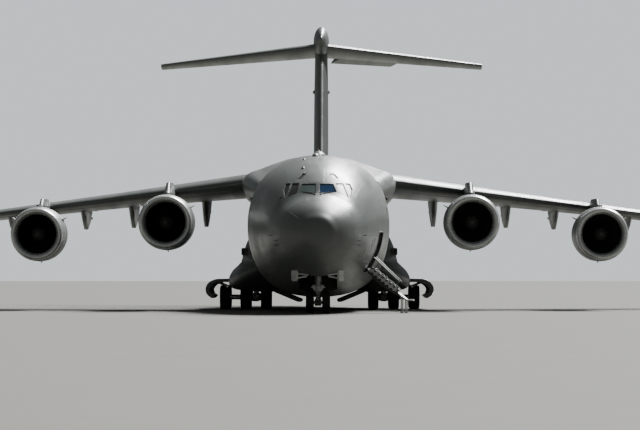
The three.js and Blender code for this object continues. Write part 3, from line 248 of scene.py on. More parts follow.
class Form:
    def __init__(self, rings, fine, uv):
        self.fine, self.uv = fine, uv
        self.points = [point for ring in rings for point in ring]
        self.triangles, self.places = [], []
        count = len(rings[0])
        for r in range(len(rings) - 1):
            for i in range(count):
                corners = [((r, i), r * count + i), ((r, i + 1), r * count + (i + 1) % count)]
                corners += [((r + 1, i + 1), corners[1][1] + count), ((r + 1, i), corners[0][1] + count)]
                a, b, c, d = (self.points[k] for _, k in corners)
                shortest = (a - c).length < (b - d).length + 1e-6
                for picked in ((0, 1, 2), (0, 2, 3)) if shortest else ((0, 1, 3), (1, 2, 3)):
                    places, triangle = zip(*(corners[k] for k in picked))
                    a, b, c = (self.points[k] for k in triangle)
                    # Sharp trailing edges leave out the triangles without an area
                    if (b - a).cross(c - a).length > 1e-8:
                        self.triangles.append(triangle)
                        self.places.append(places)
        self.tree = BVHTree.FromPolygons(self.points, self.triangles)

    def nearest(self, point, reach):
        # The (ring, side) place under a point, or nothing where it is further off than reach
        spot, normal, index, distance = self.tree.find_nearest(point, reach)
        if index is None:
            return None
        a, b, c = (self.points[k] for k in self.triangles[index])
        places = self.places[index]
        if (b - a).cross(c - a).length < 1e-9:
            return places[0]
        place = barycentric_transform(spot, a, b, c, *(Vector((*p, 0)) for p in places))
        return self.settled(point, place.x, place.y, places)

    def settled(self, point, r, i, corners):
        # Slides a place within its cell until the true curve there is nearest to the point
        start = r, i
        (lowR, highR), (lowI, highI) = ((min(values), max(values)) for values in zip(*corners))
        step = 0.01
        for _ in range(2):
            stepR = step if r < (lowR + highR) / 2 else -step
            stepI = step if i < (lowI + highI) / 2 else -step
            here = self.fine(r, i)
            alongR = (self.fine(r + stepR, i) - here) / stepR
            alongI = (self.fine(r, i + stepI) - here) / stepI
            away = point - here
            rr, ii, ri = alongR.dot(alongR), alongI.dot(alongI), alongR.dot(alongI)
            scale = rr * ii - ri * ri
            if scale < 1e-12:
                break
            r = min(max(r + (ii * away.dot(alongR) - ri * away.dot(alongI)) / scale, lowR), highR)
            i = min(max(i + (rr * away.dot(alongI) - ri * away.dot(alongR)) / scale, lowI), highI)
        better = (self.fine(r, i) - point).length < (self.fine(*start) - point).length
        return (r, i) if better else start

    def normalAt(self, r, i):
        e = 0.02
        alongR = self.fine(r + e, i) - self.fine(r - e, i)
        alongI = self.fine(r, i + e) - self.fine(r, i - e)
        return alongR.cross(alongI).normalized()

    def turned(self, turn):
        # The same form after a rigid turn
        other = object.__new__(Form)
        other.__dict__.update(self.__dict__, fine=lambda r, i: turn @ self.fine(r, i))
        other.points = [turn @ p for p in self.points]
        other.tree = BVHTree.FromPolygons(other.points, other.triangles)
        return other


dressing = {"reach": 0.0015, "sharp": 0.35, "bareUv": (0.013, 0.013), "cuts": 9}


def dressNode(node, name, forms, materials, longest, slot, body="airframe", paint=None):
    # A smooth copy of a node: faces on a form are cut finer, moved onto its true curve and shaded from it
    # paint picks a face's material from its middle and whether it lies on a form
    reach = dressing["reach"]
    bm = bmesh.new()
    bm.from_mesh(cadNodes[node].data)
    bmesh.ops.remove_doubles(bm, verts=bm.verts, dist=1e-5)
    bmesh.ops.dissolve_degenerate(bm, edges=bm.edges, dist=1e-6)
    bmesh.ops.triangulate(bm, faces=bm.faces)
    tag = bm.faces.layers.int.new("form")
    for face in bm.faces:
        middle = face.calc_center_median()
        samples = [middle] + [between(middle, v.co, 0.9) for v in face.verts]
        for k, form in enumerate(forms):
            if all(form.tree.find_nearest(p, reach)[2] is not None for p in samples):
                face[tag] = k + 1
                break
    for _ in range(dressing["cuts"]):
        long = [e for e in bm.edges if e.calc_length() > longest and any(f[tag] for f in e.link_faces)]
        if not long:
            break
        bmesh.ops.subdivide_edges(bm, edges=long, cuts=1)
        bmesh.ops.triangulate(bm, faces=[f for f in bm.faces if len(f.verts) > 3])
    bm.normal_update()
    bm.verts.index_update()
    known, moved, normals, uvs = {}, {}, [], []
    for face in bm.faces:
        k = face[tag]
        for vert in face.verts:
            key = k, vert.index
            if k and key not in known:
                form = forms[k - 1]
                place = form.nearest(vert.co, reach * 4)
                known[key] = place and (form.normalAt(*place), form.uv(*place), form.fine(*place))
            if not known.get(key):
                normals.append(tuple(face.normal))
                uvs.append(dressing["bareUv"])
                continue
            normal, uv, spot = known[key]
            # Sharp edges keep the face's own direction
            facing = normal.dot(face.normal)
            normals.append(tuple(face.normal if abs(facing) < dressing["sharp"] else normal if facing > 0
                                 else -normal))
            uvs.append(uv)
            moved.setdefault(vert.index, spot)
    if paint:
        for face in bm.faces:
            face.material_index = paint(face.calc_center_median(), face[tag] > 0)
    bm.verts.ensure_lookup_table()
    for index, spot in moved.items():
        bm.verts[index].co = spot
    mesh = bpy.data.meshes.new(name)
    bm.to_mesh(mesh)
    bm.free()
    layer = mesh.uv_layers.new(name="surface")
    for loop, uv in zip(layer.data, uvs):
        loop.uv = uv
    mesh.shade_smooth()
    mesh.normals_split_custom_set(normals)
    mesh.attributes.remove(mesh.attributes["form"])
    placePiece(name, mesh, materials, slot, body, node)


# Fuselage form
fuselage = {
    # columns: station, half width, bottom, top, height of the widest line, corner power
    "sections": [
        (0, 0.25, 3.5, 4.0, 3.75, 2), (0.25, 0.8, 2.98, 4.48, 3.75, 2), (0.8, 1.33, 2.48, 4.92, 3.8, 2),
        (1.5, 1.72, 2.12, 5.22, 3.85, 2), (2.3, 2.03, 1.82, 5.5, 3.92, 2), (3.1, 2.28, 1.57, 6.12, 3.98, 2),
        (4.0, 2.5, 1.33, 6.6, 4.02, 2), (5.2, 2.73, 1.08, 7.0, 4.08, 2), (6.6, 2.96, 0.9, 7.3, 4.12, 2),
        (8.2, 3.2, 0.78, 7.48, 4.15, 2.05), (10.5, 3.43, 0.72, 7.58, 4.16, 2.2),
        (14.0, 3.43, 0.72, 7.58, 4.16, 2.5),
        (31.5, 3.43, 0.72, 7.58, 4.16, 2.5), (33.5, 3.42, 0.95, 7.57, 4.2, 2.5),
        (36.5, 3.3, 1.9, 7.55, 4.6, 2.4),
        (39.5, 3.02, 2.95, 7.5, 5.1, 2.3), (42.5, 2.5, 3.95, 7.42, 5.6, 2.2),
        (45.5, 1.75, 4.85, 7.25, 6.05, 2.1),
        (47.5, 1.05, 5.45, 7.0, 6.3, 2), (48.6, 0.45, 5.85, 6.65, 6.3, 2),
    ],
    "sides": 24, "girth": 10.8,
}
bodySection = smoothTable(fuselage["sections"])


def sectionPoint(section, station, angle, inset=0.0):
    halfWidth, bottom, top, middle, power = section
    c, s = cos(angle), sin(angle)
    side = math.copysign(abs(c) ** (2 / power), c)
    rise = math.copysign(abs(s) ** (2 / power), s)
    high = (top - middle if s > 0 else middle - bottom) - inset
    return at((halfWidth - inset) * side, station, middle + high * rise)


def bodyPoint(station, angle, inset=0.0):
    return sectionPoint(bodySection(station), station, angle, inset)


def tableForm(rows, count, point, uvStep):
    # point gives a place from the values in a row, its station and a fractional place round the ring
    curve, stations = smoothTable(rows), [row[0] for row in rows]

    def fine(r, i):
        station = placeOn(stations, r)
        return point(curve(station), station, i)
    return Form([[point(row[1:], row[0], i) for i in range(count)] for row in rows], fine,
                lambda r, i: (placeOn(stations, r) * modelScale, i * uvStep))


def bodyForm(inset=0.0):
    sides = fuselage["sides"]

    def point(values, station, i):
        return sectionPoint(values, station, 2 * pi * i / sides, inset)
    return tableForm(fuselage["sections"], sides, point, fuselage["girth"] / sides)


def skinReach(station, z):
    # The skin's distance from the centreline at a station and a height
    halfWidth, bottom, top, middle, power = bodySection(station)
    share = min(abs(z - middle) / (top - middle if z > middle else middle - bottom), 1)
    return halfWidth * (1 - share ** power) ** (1 / power)


# Wing, fin and tailplane forms
chordShares = [0, 0.015, 0.07, 0.2, 0.4, 0.66, 1]


def sectionThickness(share):
    s = min(max(share, 0), 1)
    return 5 * (0.2969 * math.sqrt(s) - 0.126 * s - 0.3516 * s ** 2 + 0.2843 * s ** 3 - 0.1036 * s ** 4)


def airfoilPoint(section, share, side):
    # section: nose left distance, nose station, nose height, chord, thickness ratio, nose-up angle, lean
    x, station, z, chord, ratio, incidence, lean = section
    pitch, cant = radians(incidence), radians(lean)
    aft, up = Vector((0, cos(pitch), -sin(pitch))), Vector((-sin(cant), 0, cos(cant)))
    spot = Vector((x, station - overallLength / 2, z))
    return (spot + aft * (share * chord) + up * (side * ratio * chord * sectionThickness(share))) * modelScale


def sharePlace(i):
    # Chord share and side of the section at a fractional place round it
    top = len(chordShares) - 1
    i = i % (2 * top + 1)
    if i <= top:
        return placeOn(chordShares, i), 1
    if i <= top + 1:
        return 1, 1 - 2 * (i - top)
    return placeOn(chordShares, 2 * top + 1 - i), -1


def airfoilForm(sections):
    def rowAt(r):
        k = min(max(int(r), 0), len(sections) - 2)
        return mixRows(sections[k], sections[k + 1], r - k)

    def uv(r, i):
        row = rowAt(r)
        share, side = sharePlace(i)
        along = math.hypot(row[0], row[2] - sections[0][2]) if abs(row[6]) < 80 else row[2]
        return along * modelScale, (share * row[3] * side + 14 * (side < 0)) * modelScale

    loop = [(0, 0)] + [(share, 1) for share in chordShares[1:]]
    loop += [(share, -1) for share in chordShares[:0:-1]]
    return Form([[airfoilPoint(row, *place) for place in loop] for row in sections],
                lambda r, i: airfoilPoint(rowAt(r), *sharePlace(i)), uv)


wing = {
    "noseStation": 16.0, "noseSlope": 0.52, "noseHeight": 6.92, "droop": 0.1093,
    "rootChord": 12.0, "kinkAt": 10.3, "kinkChord": 7.25, "tipAt": 24.95, "tipChord": 3.3,
    "ratios": (0.115, 0.108, 0.1), "rootIncidence": 2.5, "spans": (0, 3.3, 10.3, 17.65, 24.95),
    "winglet": [(0.32, 0.1, 0.25, 3.0, 35), (0.5, 0.42, 0.6, 2.7, 68), (0.865, 2.8, 2.55, 1.35, 76)],
}


def wingAt(x, side=1):
    w = wing
    if x < w["kinkAt"]:
        share, chords, ratios = x / w["kinkAt"], (w["rootChord"], w["kinkChord"]), w["ratios"][:2]
    else:
        share = (x - w["kinkAt"]) / (w["tipAt"] - w["kinkAt"])
        chords, ratios = (w["kinkChord"], w["tipChord"]), w["ratios"][1:]
    incidence = w["rootIncidence"] * (1 - x / w["tipAt"])
    return [side * x, w["noseStation"] + w["noseSlope"] * x, w["noseHeight"] - w["droop"] * x,
            between(*chords, share), between(*ratios, share), incidence, 0]


def wingSections(side):
    rows = [wingAt(x, side) for x in wing["spans"]]
    tip = wingAt(wing["tipAt"])
    return rows + [[side * (tip[0] + x), tip[1] + back, tip[2] + rise, chord, 0.09, 0, side * lean]
                   for x, rise, back, chord, lean in wing["winglet"]]


engines = {"inner": {"x": 7.66, "z": 4.44, "lip": 14.8}, "outer": {"x": 14.42, "z": 3.9, "lip": 18.3}}


def plainForm(rings):
    # A form whose fine surface is a rounded line through the same points
    def fine(r, i):
        k = min(max(int(r), 0), len(rings) - 2)
        return between(Vector(roundedLoop(rings[k], i)), Vector(roundedLoop(rings[k + 1], i)), r - k)

    def uv(r, i):
        p = fine(r, i)
        return p.y, p.z + 0.2 * i / len(rings[0])
    return Form(rings, fine, uv)


def pylonForm(engine, side):
    x, z, lip = engine["x"], engine["z"], engine["lip"]
    noseZ = wingAt(x)[2]
    # columns: height, front, rear, half width
    levels = [(z + 0.9, lip + 1.0, lip + 6.4, 0.2), (z + 1.5, lip + 1.15, lip + 6.9, 0.24),
              (noseZ - 0.15, lip + 2.0, lip + 7.6, 0.24), (noseZ + 0.42, lip + 3.1, lip + 6.3, 0.16)]
    outline = [(0, 0), (0.55, 0.06), (1, 0.3), (1, 0.6), (0.35, 0.92), (0, 1)]
    ring = outline + [(-w, s) for w, s in outline[-2:0:-1]]
    return plainForm([[at(side * (x + w * half), front + (rear - front) * s, height) for w, s in ring]
                      for height, front, rear, half in levels])


flaps = {
    "hingeShare": 0.72,
    # columns: left distance, depth below the wing, depth of the hinge line, drum radius of its flap
    "fairings": [(6.0, 1.34, 0.62, 0.47), (9.9, 1.1, 0.52, 0.47), (12.5, 0.95, 0.45, 0.3),
                 (16.5, 0.72, 0.34, 0.3)],
}


def fairingForm(fairing, side):
    x, depth, hinge, drum = fairing
    _, nose, z, chord, ratio, incidence, _ = wingAt(x)
    pivot = nose + chord * flaps["hingeShare"]
    # columns: distance behind the hinge, depth, half width
    sections = [(-3.3, 0.05, 0.08), (-2.5, depth * 0.55, 0.19), (-1.2, depth, 0.24),
                (0, hinge + 0.9 * drum, 0.24),
                (drum, hinge + 0.6 * drum, 0.22), (2.1, 0.12, 0.09)]
    rings = []
    for aft, down, half in sections:
        share = flaps["hingeShare"] + aft / chord
        under = z - sin(radians(incidence)) * chord * share - ratio * chord * sectionThickness(share)
        top, low = under + 0.14, under - down
        outline = [(0.5, top), (1, top - 0.08), (0.85, (top + low) / 2), (0.45, low)]
        ring = [(w * half, h) for w, h in outline] + [(-w * half, h) for w, h in reversed(outline)]
        rings.append([at(side * (x + w), pivot + aft, h) for w, h in ring])
    return plainForm(rings)


tail = {
    # columns: height, nose station, chord, thickness ratio
    "fin": [(6.3, 37.0, 11.2, 0.05), (7.5, 37.6, 10.95, 0.06), (8.1, 39.7, 9.05, 0.094),
            (15.4, 45.6, 5.4, 0.14)],
    "stab": {"noseStation": 45.0, "tipStation": 50.683, "halfSpan": 9.905, "rootHeight": 15.5,
             "tipHeight": 14.75,
             "rootChord": 5.6, "tipChord": 2.36, "ratio": 0.12, "incidence": 3},
    # columns: station, half width, bottom, top
    "bullet": [(43.9, 0.05, 15.75, 15.95), (44.4, 0.28, 15.3, 16.3), (45.3, 0.43, 15.0, 16.64),
               (46.8, 0.47, 14.9, 16.79), (48.6, 0.47, 14.9, 16.75), (50.2, 0.36, 15.05, 16.45),
               (51.6, 0.06, 15.6, 15.9)],
}


def stabAt(x):
    s = tail["stab"]
    share = abs(x) / s["halfSpan"]
    return [x, between(s["noseStation"], s["tipStation"], share),
            between(s["rootHeight"], s["tipHeight"], share),
            between(s["rootChord"], s["tipChord"], share), s["ratio"], s["incidence"], 0]


def bulletForm(sides=16):
    def point(values, station, i):
        half, bottom, top = values
        rise, angle = (top - bottom) / 2, 2 * pi * i / sides
        return at(half * cos(angle), station, bottom + rise + rise * sin(angle))
    return tableForm(tail["bullet"], sides, point, 1.4 / sides)


def sizedForm(spec, outline, side=1):
    # An outline in the front view, scaled about an anchor along the stations
    def point(values, station, i):
        x, z = mixRows(spec["anchor"], roundedLoop(outline, i), values[0])
        return at(side * x, station, z)
    return tableForm(spec["sizes"], len(outline), point, 0.4)


sponson = {
    "outline": [(2.6, 4.2), (3.3, 4.15), (3.7, 3.6), (3.96, 2.9), (4.05, 2.47), (4.5, 2.02), (4.7, 1.54),
                (4.5, 1.12), (3.7, 0.98), (2.3, 0.95), (1.9, 1.5)],
    "sizes": [(17.4, 0.1), (18.2, 0.5), (19.4, 0.82), (20.9, 1), (29.2, 1), (30.9, 0.86), (32.3, 0.55),
              (33.2, 0.12)],
    "anchor": (2.7, 2.3),
}
wingRoot = {
    "outline": [(0, 7.8), (1.3, 7.7), (2.1, 7.47), (2.9, 7.17), (3.6, 6.9), (3.86, 6.4), (3.74, 5.9),
                (3.3, 5.5), (0, 5.3)],
    "sizes": [(11.4, 0.795), (12.4, 0.84), (13.6, 0.895), (15.2, 0.96), (17.0, 1), (26.5, 1), (28.6, 0.965),
              (30.8, 0.9)],
    "anchor": (0, 4.16),
}


# Materials

def setSockets(tree, node, values):
    # A value sets an input, and another node's output is linked to it
    for key, value in values.items():
        if isinstance(value, bpy.types.NodeSocket):
            tree.links.new(value, node.inputs[key])
        elif isinstance(value, (list, tuple)) and node.inputs[key].type == "RGBA":
            node.inputs[key].default_value = (*value[:3], 1)
        elif value is not None:
            node.inputs[key].default_value = value


def addNode(tree, kind, values=None, **settings):
    node = tree.nodes.new(kind)
    for key, value in settings.items():
        setattr(node, key, value)
    setSockets(tree, node, values or {})
    return node


def newTree(name, kind, given, made):
    # A node group with sockets of (label, type, value)
    tree = bpy.data.node_groups.new(name, kind)
    for way, rows in (("INPUT", given), ("OUTPUT", made)):
        for label, sort, value in rows:
            socket = tree.interface.new_socket(label, in_out=way, socket_type="NodeSocket" + sort)
            if value is not None:
                socket.default_value = value
    return tree, addNode(tree, "NodeGroupInput").outputs


def calc(tree, operation, a, b):
    return addNode(tree, "ShaderNodeMath", {0: a, 1: b}, operation=operation).outputs[0]


def makePanelGroup():
    # Skin panels along the surface's own map: seams between them and a tint for each
    sizes = [("Panel Length", "Float", 1.2), ("Panel Width", "Float", 0.6), ("Seam", "Float", 0.006)]
    tree, given = newTree("skinPanels", "ShaderNodeTree", sizes,
                          [("Seam Mask", "Float", None), ("Tint", "Float", None)])
    surface = addNode(tree, "ShaderNodeUVMap", uv_map="surface").outputs["UV"]
    brick = addNode(tree, "ShaderNodeTexBrick", {
        "Scale": 1.0, "Mortar Smooth": 0.2, "Color1": (0, 0, 0), "Color2": (1, 1, 1),
        "Mortar": (0.5, 0.5, 0.5), "Vector": surface, "Brick Width": given["Panel Length"],
        "Row Height": given["Panel Width"], "Mortar Size": given["Seam"]}, offset=0.37, squash=1.0).outputs
    addNode(tree, "NodeGroupOutput", {"Seam Mask": brick["Fac"], "Tint": brick["Color"]})
    return tree


def makeGrimeGroup():
    # Streaks that run back and down, and a fine mottle
    tree, given = newTree("flightGrime", "ShaderNodeTree",
                          [("Streak Scale", "Float", 1.0), ("Mottle Scale", "Float", 9.0)],
                          [("Streaks", "Float", None), ("Mottle", "Float", None)])
    place = addNode(tree, "ShaderNodeTexCoord").outputs["Object"]
    stretch = addNode(tree, "ShaderNodeMapping",
                      {"Scale": (1.6, 0.22, 1.1), "Vector": place}).outputs["Vector"]
    streak = addNode(tree, "ShaderNodeTexNoise", {"Detail": 6.0, "Roughness": 0.62, "Vector": stretch,
                                                  "Scale": given["Streak Scale"]}).outputs["Fac"]
    mottle = addNode(tree, "ShaderNodeTexNoise", {"Detail": 4.0, "Roughness": 0.5, "Vector": place,
                                                  "Scale": given["Mottle Scale"]}).outputs["Fac"]
    addNode(tree, "NodeGroupOutput", {"Streaks": scaled(tree, streak, 0.0, 1.0, 0.42, 0.72),
                                      "Mottle": mottle})
    return tree


def mixColour(tree, share, a, b):
    return addNode(tree, "ShaderNodeMix", {0: share, 6: a, 7: b}, data_type="RGBA").outputs[2]


def scaled(tree, value, low, high, fromLow=0.0, fromHigh=1.0):
    return addNode(tree, "ShaderNodeMapRange", {
        "From Min": fromLow, "From Max": fromHigh, "To Min": low, "To Max": high, "Value": value
    }).outputs["Result"]


panelGroup = makePanelGroup()
grimeGroup = makeGrimeGroup()


def newMaterial(name):
    material = bpy.data.materials.new(name)
    material.use_nodes = True
    tree = material.node_tree
    return material, tree, tree.nodes["Principled BSDF"]


def addDirt(tree, mottle=9.0, streak=1.0):
    dirt = addNode(tree, "ShaderNodeGroup", {"Mottle Scale": mottle, "Streak Scale": streak},
                   node_tree=grimeGroup)
    return dirt.outputs["Streaks"], dirt.outputs["Mottle"]


def addBump(tree, height, strength, distance):
    return addNode(tree, "ShaderNodeBump",
                   {"Strength": strength, "Distance": distance, "Height": height}).outputs[0]


def skinPaint(name, colour, rough=0.3, streaks=0.35, panels=(1.5, 0.62), seam=0.007):
    # Satin paint over riveted panels
    tint, seamDark, grime = 0.12, 0.45, (0.1, 0.107, 0.1)
    material, tree, shader = newMaterial(name)
    sizes = {"Panel Length": panels[0], "Panel Width": panels[1], "Seam": seam}
    panel = addNode(tree, "ShaderNodeGroup", sizes, node_tree=panelGroup).outputs
    streak, mottle = addDirt(tree)
    base = mixColour(tree, panel["Tint"], [c * (1 - tint) for c in colour], [c * (1 + tint) for c in colour])
    base = mixColour(tree, scaled(tree, streak, 0, streaks), base, grime)
    base = mixColour(tree, scaled(tree, mottle, 0, 0.16, 0.3, 0.75), base, [c * 0.75 for c in colour])
    base = mixColour(tree, scaled(tree, panel["Seam Mask"], 0, seamDark), base, [c * 0.25 for c in colour])
    height = calc(tree, "SUBTRACT", scaled(tree, mottle, 0, 0.25), panel["Seam Mask"])
    setSockets(tree, shader, {"Base Color": base, "Roughness": scaled(tree, streak, rough, rough + 0.2),
                              "Coat Weight": 0.05, "Coat Roughness": 0.3,
                              "Normal": addBump(tree, height, 0.35, 0.004)})


def plainFinish(name, colour, rough=0.5, metallic=0.0, streaks=0.2, scale=14.0, bump=0.15):
    # Paint, metal, rubber or trim with worn and dirty places
    material, tree, shader = newMaterial(name)
    streak, mottle = addDirt(tree, scale, 3.0)
    base = mixColour(tree, scaled(tree, mottle, 0, 1, 0.35, 0.7), colour, [c * 0.82 for c in colour])
    base = mixColour(tree, scaled(tree, streak, 0, streaks), base, (0.1, 0.1, 0.095))
    shine = scaled(tree, mottle, max(rough - 0.08, 0.04), min(rough + 0.12, 1), 0.3, 0.7)
    setSockets(tree, shader, {"Base Color": base, "Roughness": shine, "Metallic": metallic,
                              "Normal": addBump(tree, mottle, bump, 0.002)})


def paneGlass(name, colour, clear, haze=0.04):
    # Tinted glass that shows the flight deck a little
    material, tree, shader = newMaterial(name)
    streak, mottle = addDirt(tree, 4.0)
    base = mixColour(tree, scaled(tree, mottle, 0, 0.7, 0.3, 0.7), colour, [c * 1.35 + 0.01 for c in colour])
    setSockets(tree, shader, {"Base Color": base, "Roughness": scaled(tree, streak, haze - 0.01, haze + 0.08),
                              "Transmission Weight": clear, "IOR": 1.45, "Coat Weight": 0.5,
                              "Coat Roughness": haze})


bodyGrey = (0.118, 0.13, 0.123)
skinPaint("greySkin", bodyGrey)
skinPaint("wingSkin", bodyGrey, streaks=0.4, panels=(0.95, 1.1))
skinPaint("radomeSkin", (0.108, 0.118, 0.112), 0.36, 0.25, (9, 9), 0.0)
skinPaint("cowlSkin", bodyGrey, 0.36, 0.45, (1.1, 0.9))
skinPaint("tailSkin", bodyGrey, streaks=0.3, panels=(0.8, 1.3))
paneGlass("paneGreen", (0.1, 0.135, 0.125), 0.3)
# Painted reflection: the right centre pane seen from the front is deep blue, the sky reflected in glass like
# the green pane's
paneGlass("paneBlue", (0.012, 0.045, 0.11), 0.3)
paneGlass("paneSmoke", (0.035, 0.035, 0.032), 0.5, 0.4)
finishes = {
    # columns: colour, roughness, metal, streaks, scale and height of the mottle
    # Grey of the main doors' stiffeners, and on the nose fork painted shade in place of the gear's white
    "innerGrey": ((0.3, 0.31, 0.3), 0.6),
    "deckGrey": ((0.13, 0.135, 0.135), 0.7, 0.0, 0.2, 22),
    "gearWhite": ((0.62, 0.64, 0.63), 0.35),
    "bareMetal": ((0.62, 0.62, 0.6), 0.28, 1.0, 0.1),
    "seamMetal": ((0.3, 0.31, 0.31), 0.4, 0.5),
    "lipMetal": ((0.6, 0.61, 0.6), 0.3, 0.6, 0.15),
    "chromeSteel": ((0.7, 0.7, 0.7), 0.12, 1.0, 0.05),
    "stairMetal": ((0.52, 0.53, 0.52), 0.45, 0.6),
    "darkMetal": ((0.1, 0.105, 0.11), 0.45, 0.5),
    "fanMetal": ((0.055, 0.055, 0.058), 0.38, 0.85),
    "burntMetal": ((0.21, 0.18, 0.15), 0.42, 0.9, 0.5),
    "rubberBlack": ((0.022, 0.022, 0.022), 0.78, 0.0, 0.2, 30, 0.4),
    "sealBlack": ((0.03, 0.03, 0.03), 0.6),
    "sealGrey": ((0.05, 0.053, 0.052), 0.6),
    # Painted shade: near black on the disc behind the fan, in the bypass duct and in the rims' holes
    "soot": ((0.03, 0.03, 0.03), 0.8),
    # Painted shade: near black in the wells and doorways of the cockpit section and the sponsons
    "wellBlack": ((0.016, 0.017, 0.017), 0.7),
    "holdGrey": ((0.16, 0.165, 0.16), 0.6),
    "cabinGrey": ((0.07, 0.072, 0.07), 0.8),
    # Painted shade: near black on the intake wall, in the scoop's mouth and on the small corner panes
    "ductGrey": ((0.035, 0.037, 0.035), 0.55),
    "spinnerGrey": ((0.05, 0.05, 0.048), 0.45),
    "rimGrey": ((0.5, 0.52, 0.5), 0.4, 0.0, 0.45),
    "greySkinPlain": (bodyGrey, 0.42),
    "doorPaint": ((0.2, 0.21, 0.205), 0.42, 0.0, 0.4),
    # Nose gear doors: white paint on the inner face, and on the outer face, grey on the real door, painted
    # bounce light from the ground
    "doorWhite": ((0.55, 0.56, 0.53), 0.4, 0.0, 0.35),
    "treadGrip": ((0.5, 0.51, 0.5), 0.5, 0.0, 0.2, 60, 0.5),
    "stairDark": ((0.03, 0.034, 0.038), 0.5),
    "seatFabric": ((0.06, 0.075, 0.06), 0.9, 0.0, 0.2, 60, 0.5),
    "screenGlass": ((0.012, 0.02, 0.018), 0.12),
    "lampGlass": ((0.75, 0.78, 0.75), 0.08),
    "navRed": ((0.45, 0.03, 0.02), 0.12),
    "navGreen": ((0.02, 0.3, 0.12), 0.12),
}
for name, row in finishes.items():
    plainFinish(name, *row)
print("materials made")

# Skins that follow the solids
skinPieces = [
    # piece, node, form, material, longest edge, slot
    ("cockpitSkin", "cockpit_section", "body", "greySkin", 0.13, "grey_skin"),
    ("barrelSkin", "fuselage_barrel", "body", "greySkin", 0.3, "grey_skin"),
    ("rearSkin", "rear_fuselage", "body", "greySkin", 0.2, "grey_skin"),
    ("rampSkin", "cargo_ramp", "body", "greySkin", 0.25, "grey_skin"),
    ("cargoDoorSkin", "cargo_door", "body", "greySkin", 0.25, "grey_skin"),
    ("finSkin", "fin", "fin", "tailSkin", 0.25, "grey_skin"),
    ("tailplaneSkin", "tailplane", "stab", "tailSkin", 0.25, "grey_skin"),
    ("bulletSkin", "tail_bullet", "bullet", "tailSkin", 0.12, "composite_skin"),
    ("rudderLowerSkin", "rudder_lower", "fin", "tailSkin", 0.25, "composite_skin"),
    ("rudderUpperSkin", "rudder_upper", "fin", "tailSkin", 0.25, "composite_skin"),
    ("wingRootSkin", "wing_root_fairing", "root", "greySkin", 0.25, "grey_skin"),
]
for label, side in bothSides:
    skinPieces += [(name + "Skin" + label.capitalize(), f"{node}_{label}", form, material, longest, slot)
                   for name, node, form, material, longest, slot in (
                       ("wing", "wing", label, "wingSkin", 0.25, "grey_skin"),
                       ("flapInner", "flap_inner", label, "wingSkin", 0.25, "grey_skin"),
                       ("flapOuter", "flap_outer", label, "wingSkin", 0.25, "grey_skin"),
                       ("aileron", "aileron", label, "wingSkin", 0.25, "grey_skin"),
                       ("sponson", "sponson", "sponson" + label, "greySkin", 0.16, "grey_skin"),
                       ("elevatorOuter", "elevator_outer", "stab", "tailSkin", 0.25, "composite_skin"),
                       ("elevatorInner", "elevator_inner", "stab", "tailSkin", 0.25, "composite_skin"))]
# The inner left elevator droops about its hinge
hinge = next(j for j in frame["record"]["behaviour"]["joints"] if j["child"] == "elevator_inner_left")
start, axis = Vector(hinge["pos_m"]), Vector(hinge["axis"])
bodySkin = bodyForm()
stabSkin = airfoilForm([stabAt(x) for x in (-tail["stab"]["halfSpan"], 0, tail["stab"]["halfSpan"])])
drooped = stabSkin.turned(turnAbout(start, axis if axis.x > 0 else -axis, -11))
skinForms = {
    "body": [bodySkin], "stab": [stabSkin], "bullet": [bulletForm()],
    "fin": [airfoilForm([[0, station, z, chord, ratio, 0, 90] for z, station, chord, ratio in tail["fin"]])],
    "root": [sizedForm(wingRoot, wingRoot["outline"] + [(-x, z) for x, z in wingRoot["outline"][-2:0:-1]])],
}
for label, side in bothSides:
    skinForms[label] = ([airfoilForm(wingSections(side))]
                        + [pylonForm(engine, side) for engine in engines.values()]
                        + [fairingForm(row, side) for row in flaps["fairings"]])
    skinForms["sponson" + label] = [sizedForm(sponson, sponson["outline"], side)]

bodyOfNode = {node: body for body, members in frame["record"]["behaviour"]["bodies"].items()
              for node in members}
for piece, node, form, material, longest, slot in skinPieces:
    # Wells, doorways and the hold are the second material: grey in the hold, and in the cockpit section and
    # the sponsons near black, painted shade in the wells and doorways
    inside = " holdGrey" if "fuselage" in node else ""
    if "cockpit" in node or "sponson" in node:
        inside = " wellBlack"
    forms = [drooped] if node == "elevator_inner_left" else skinForms[form]
    dressNode(node, piece, forms, material + inside, longest, slot, bodyOfNode[node],
              (lambda middle, onForm: 0 if onForm else 1) if inside else None)
print("skins made")


# Geometry Nodes that repeat a part

def copiesTree(name, sockets, build):
    # build gives the points, the part and its turn; the copies are then made real and painted
    mesh = [("Geometry", "Geometry", None)]
    tree, given = newTree(name, "GeometryNodeTree", mesh + sockets + [("Material", "Material", None)], mesh)
    points, part, turn = build(tree, given)
    copies = addNode(tree, "GeometryNodeInstanceOnPoints",
                     {"Points": points, "Instance": part, "Rotation": turn}).outputs[0]
    real = addNode(tree, "GeometryNodeRealizeInstances", {"Geometry": copies}).outputs[0]
    paint = addNode(tree, "GeometryNodeSetMaterial",
                    {"Geometry": real, "Material": given["Material"]}).outputs[0]
    addNode(tree, "NodeGroupOutput", {"Geometry": paint})
    return tree


def buildRing(tree, given):
    # Turns copies of a part round the Y axis
    line = addNode(tree, "GeometryNodeMeshLine",
                   {"Offset": (0, 0, 0), "Count": given["Count"]}).outputs["Mesh"]
    index = addNode(tree, "GeometryNodeInputIndex").outputs[0]
    step = calc(tree, "DIVIDE", 2 * pi, given["Count"])
    return line, given["Geometry"], addNode(tree, "ShaderNodeCombineXYZ",
                                            {"Y": calc(tree, "MULTIPLY", index, step)}).outputs[0]


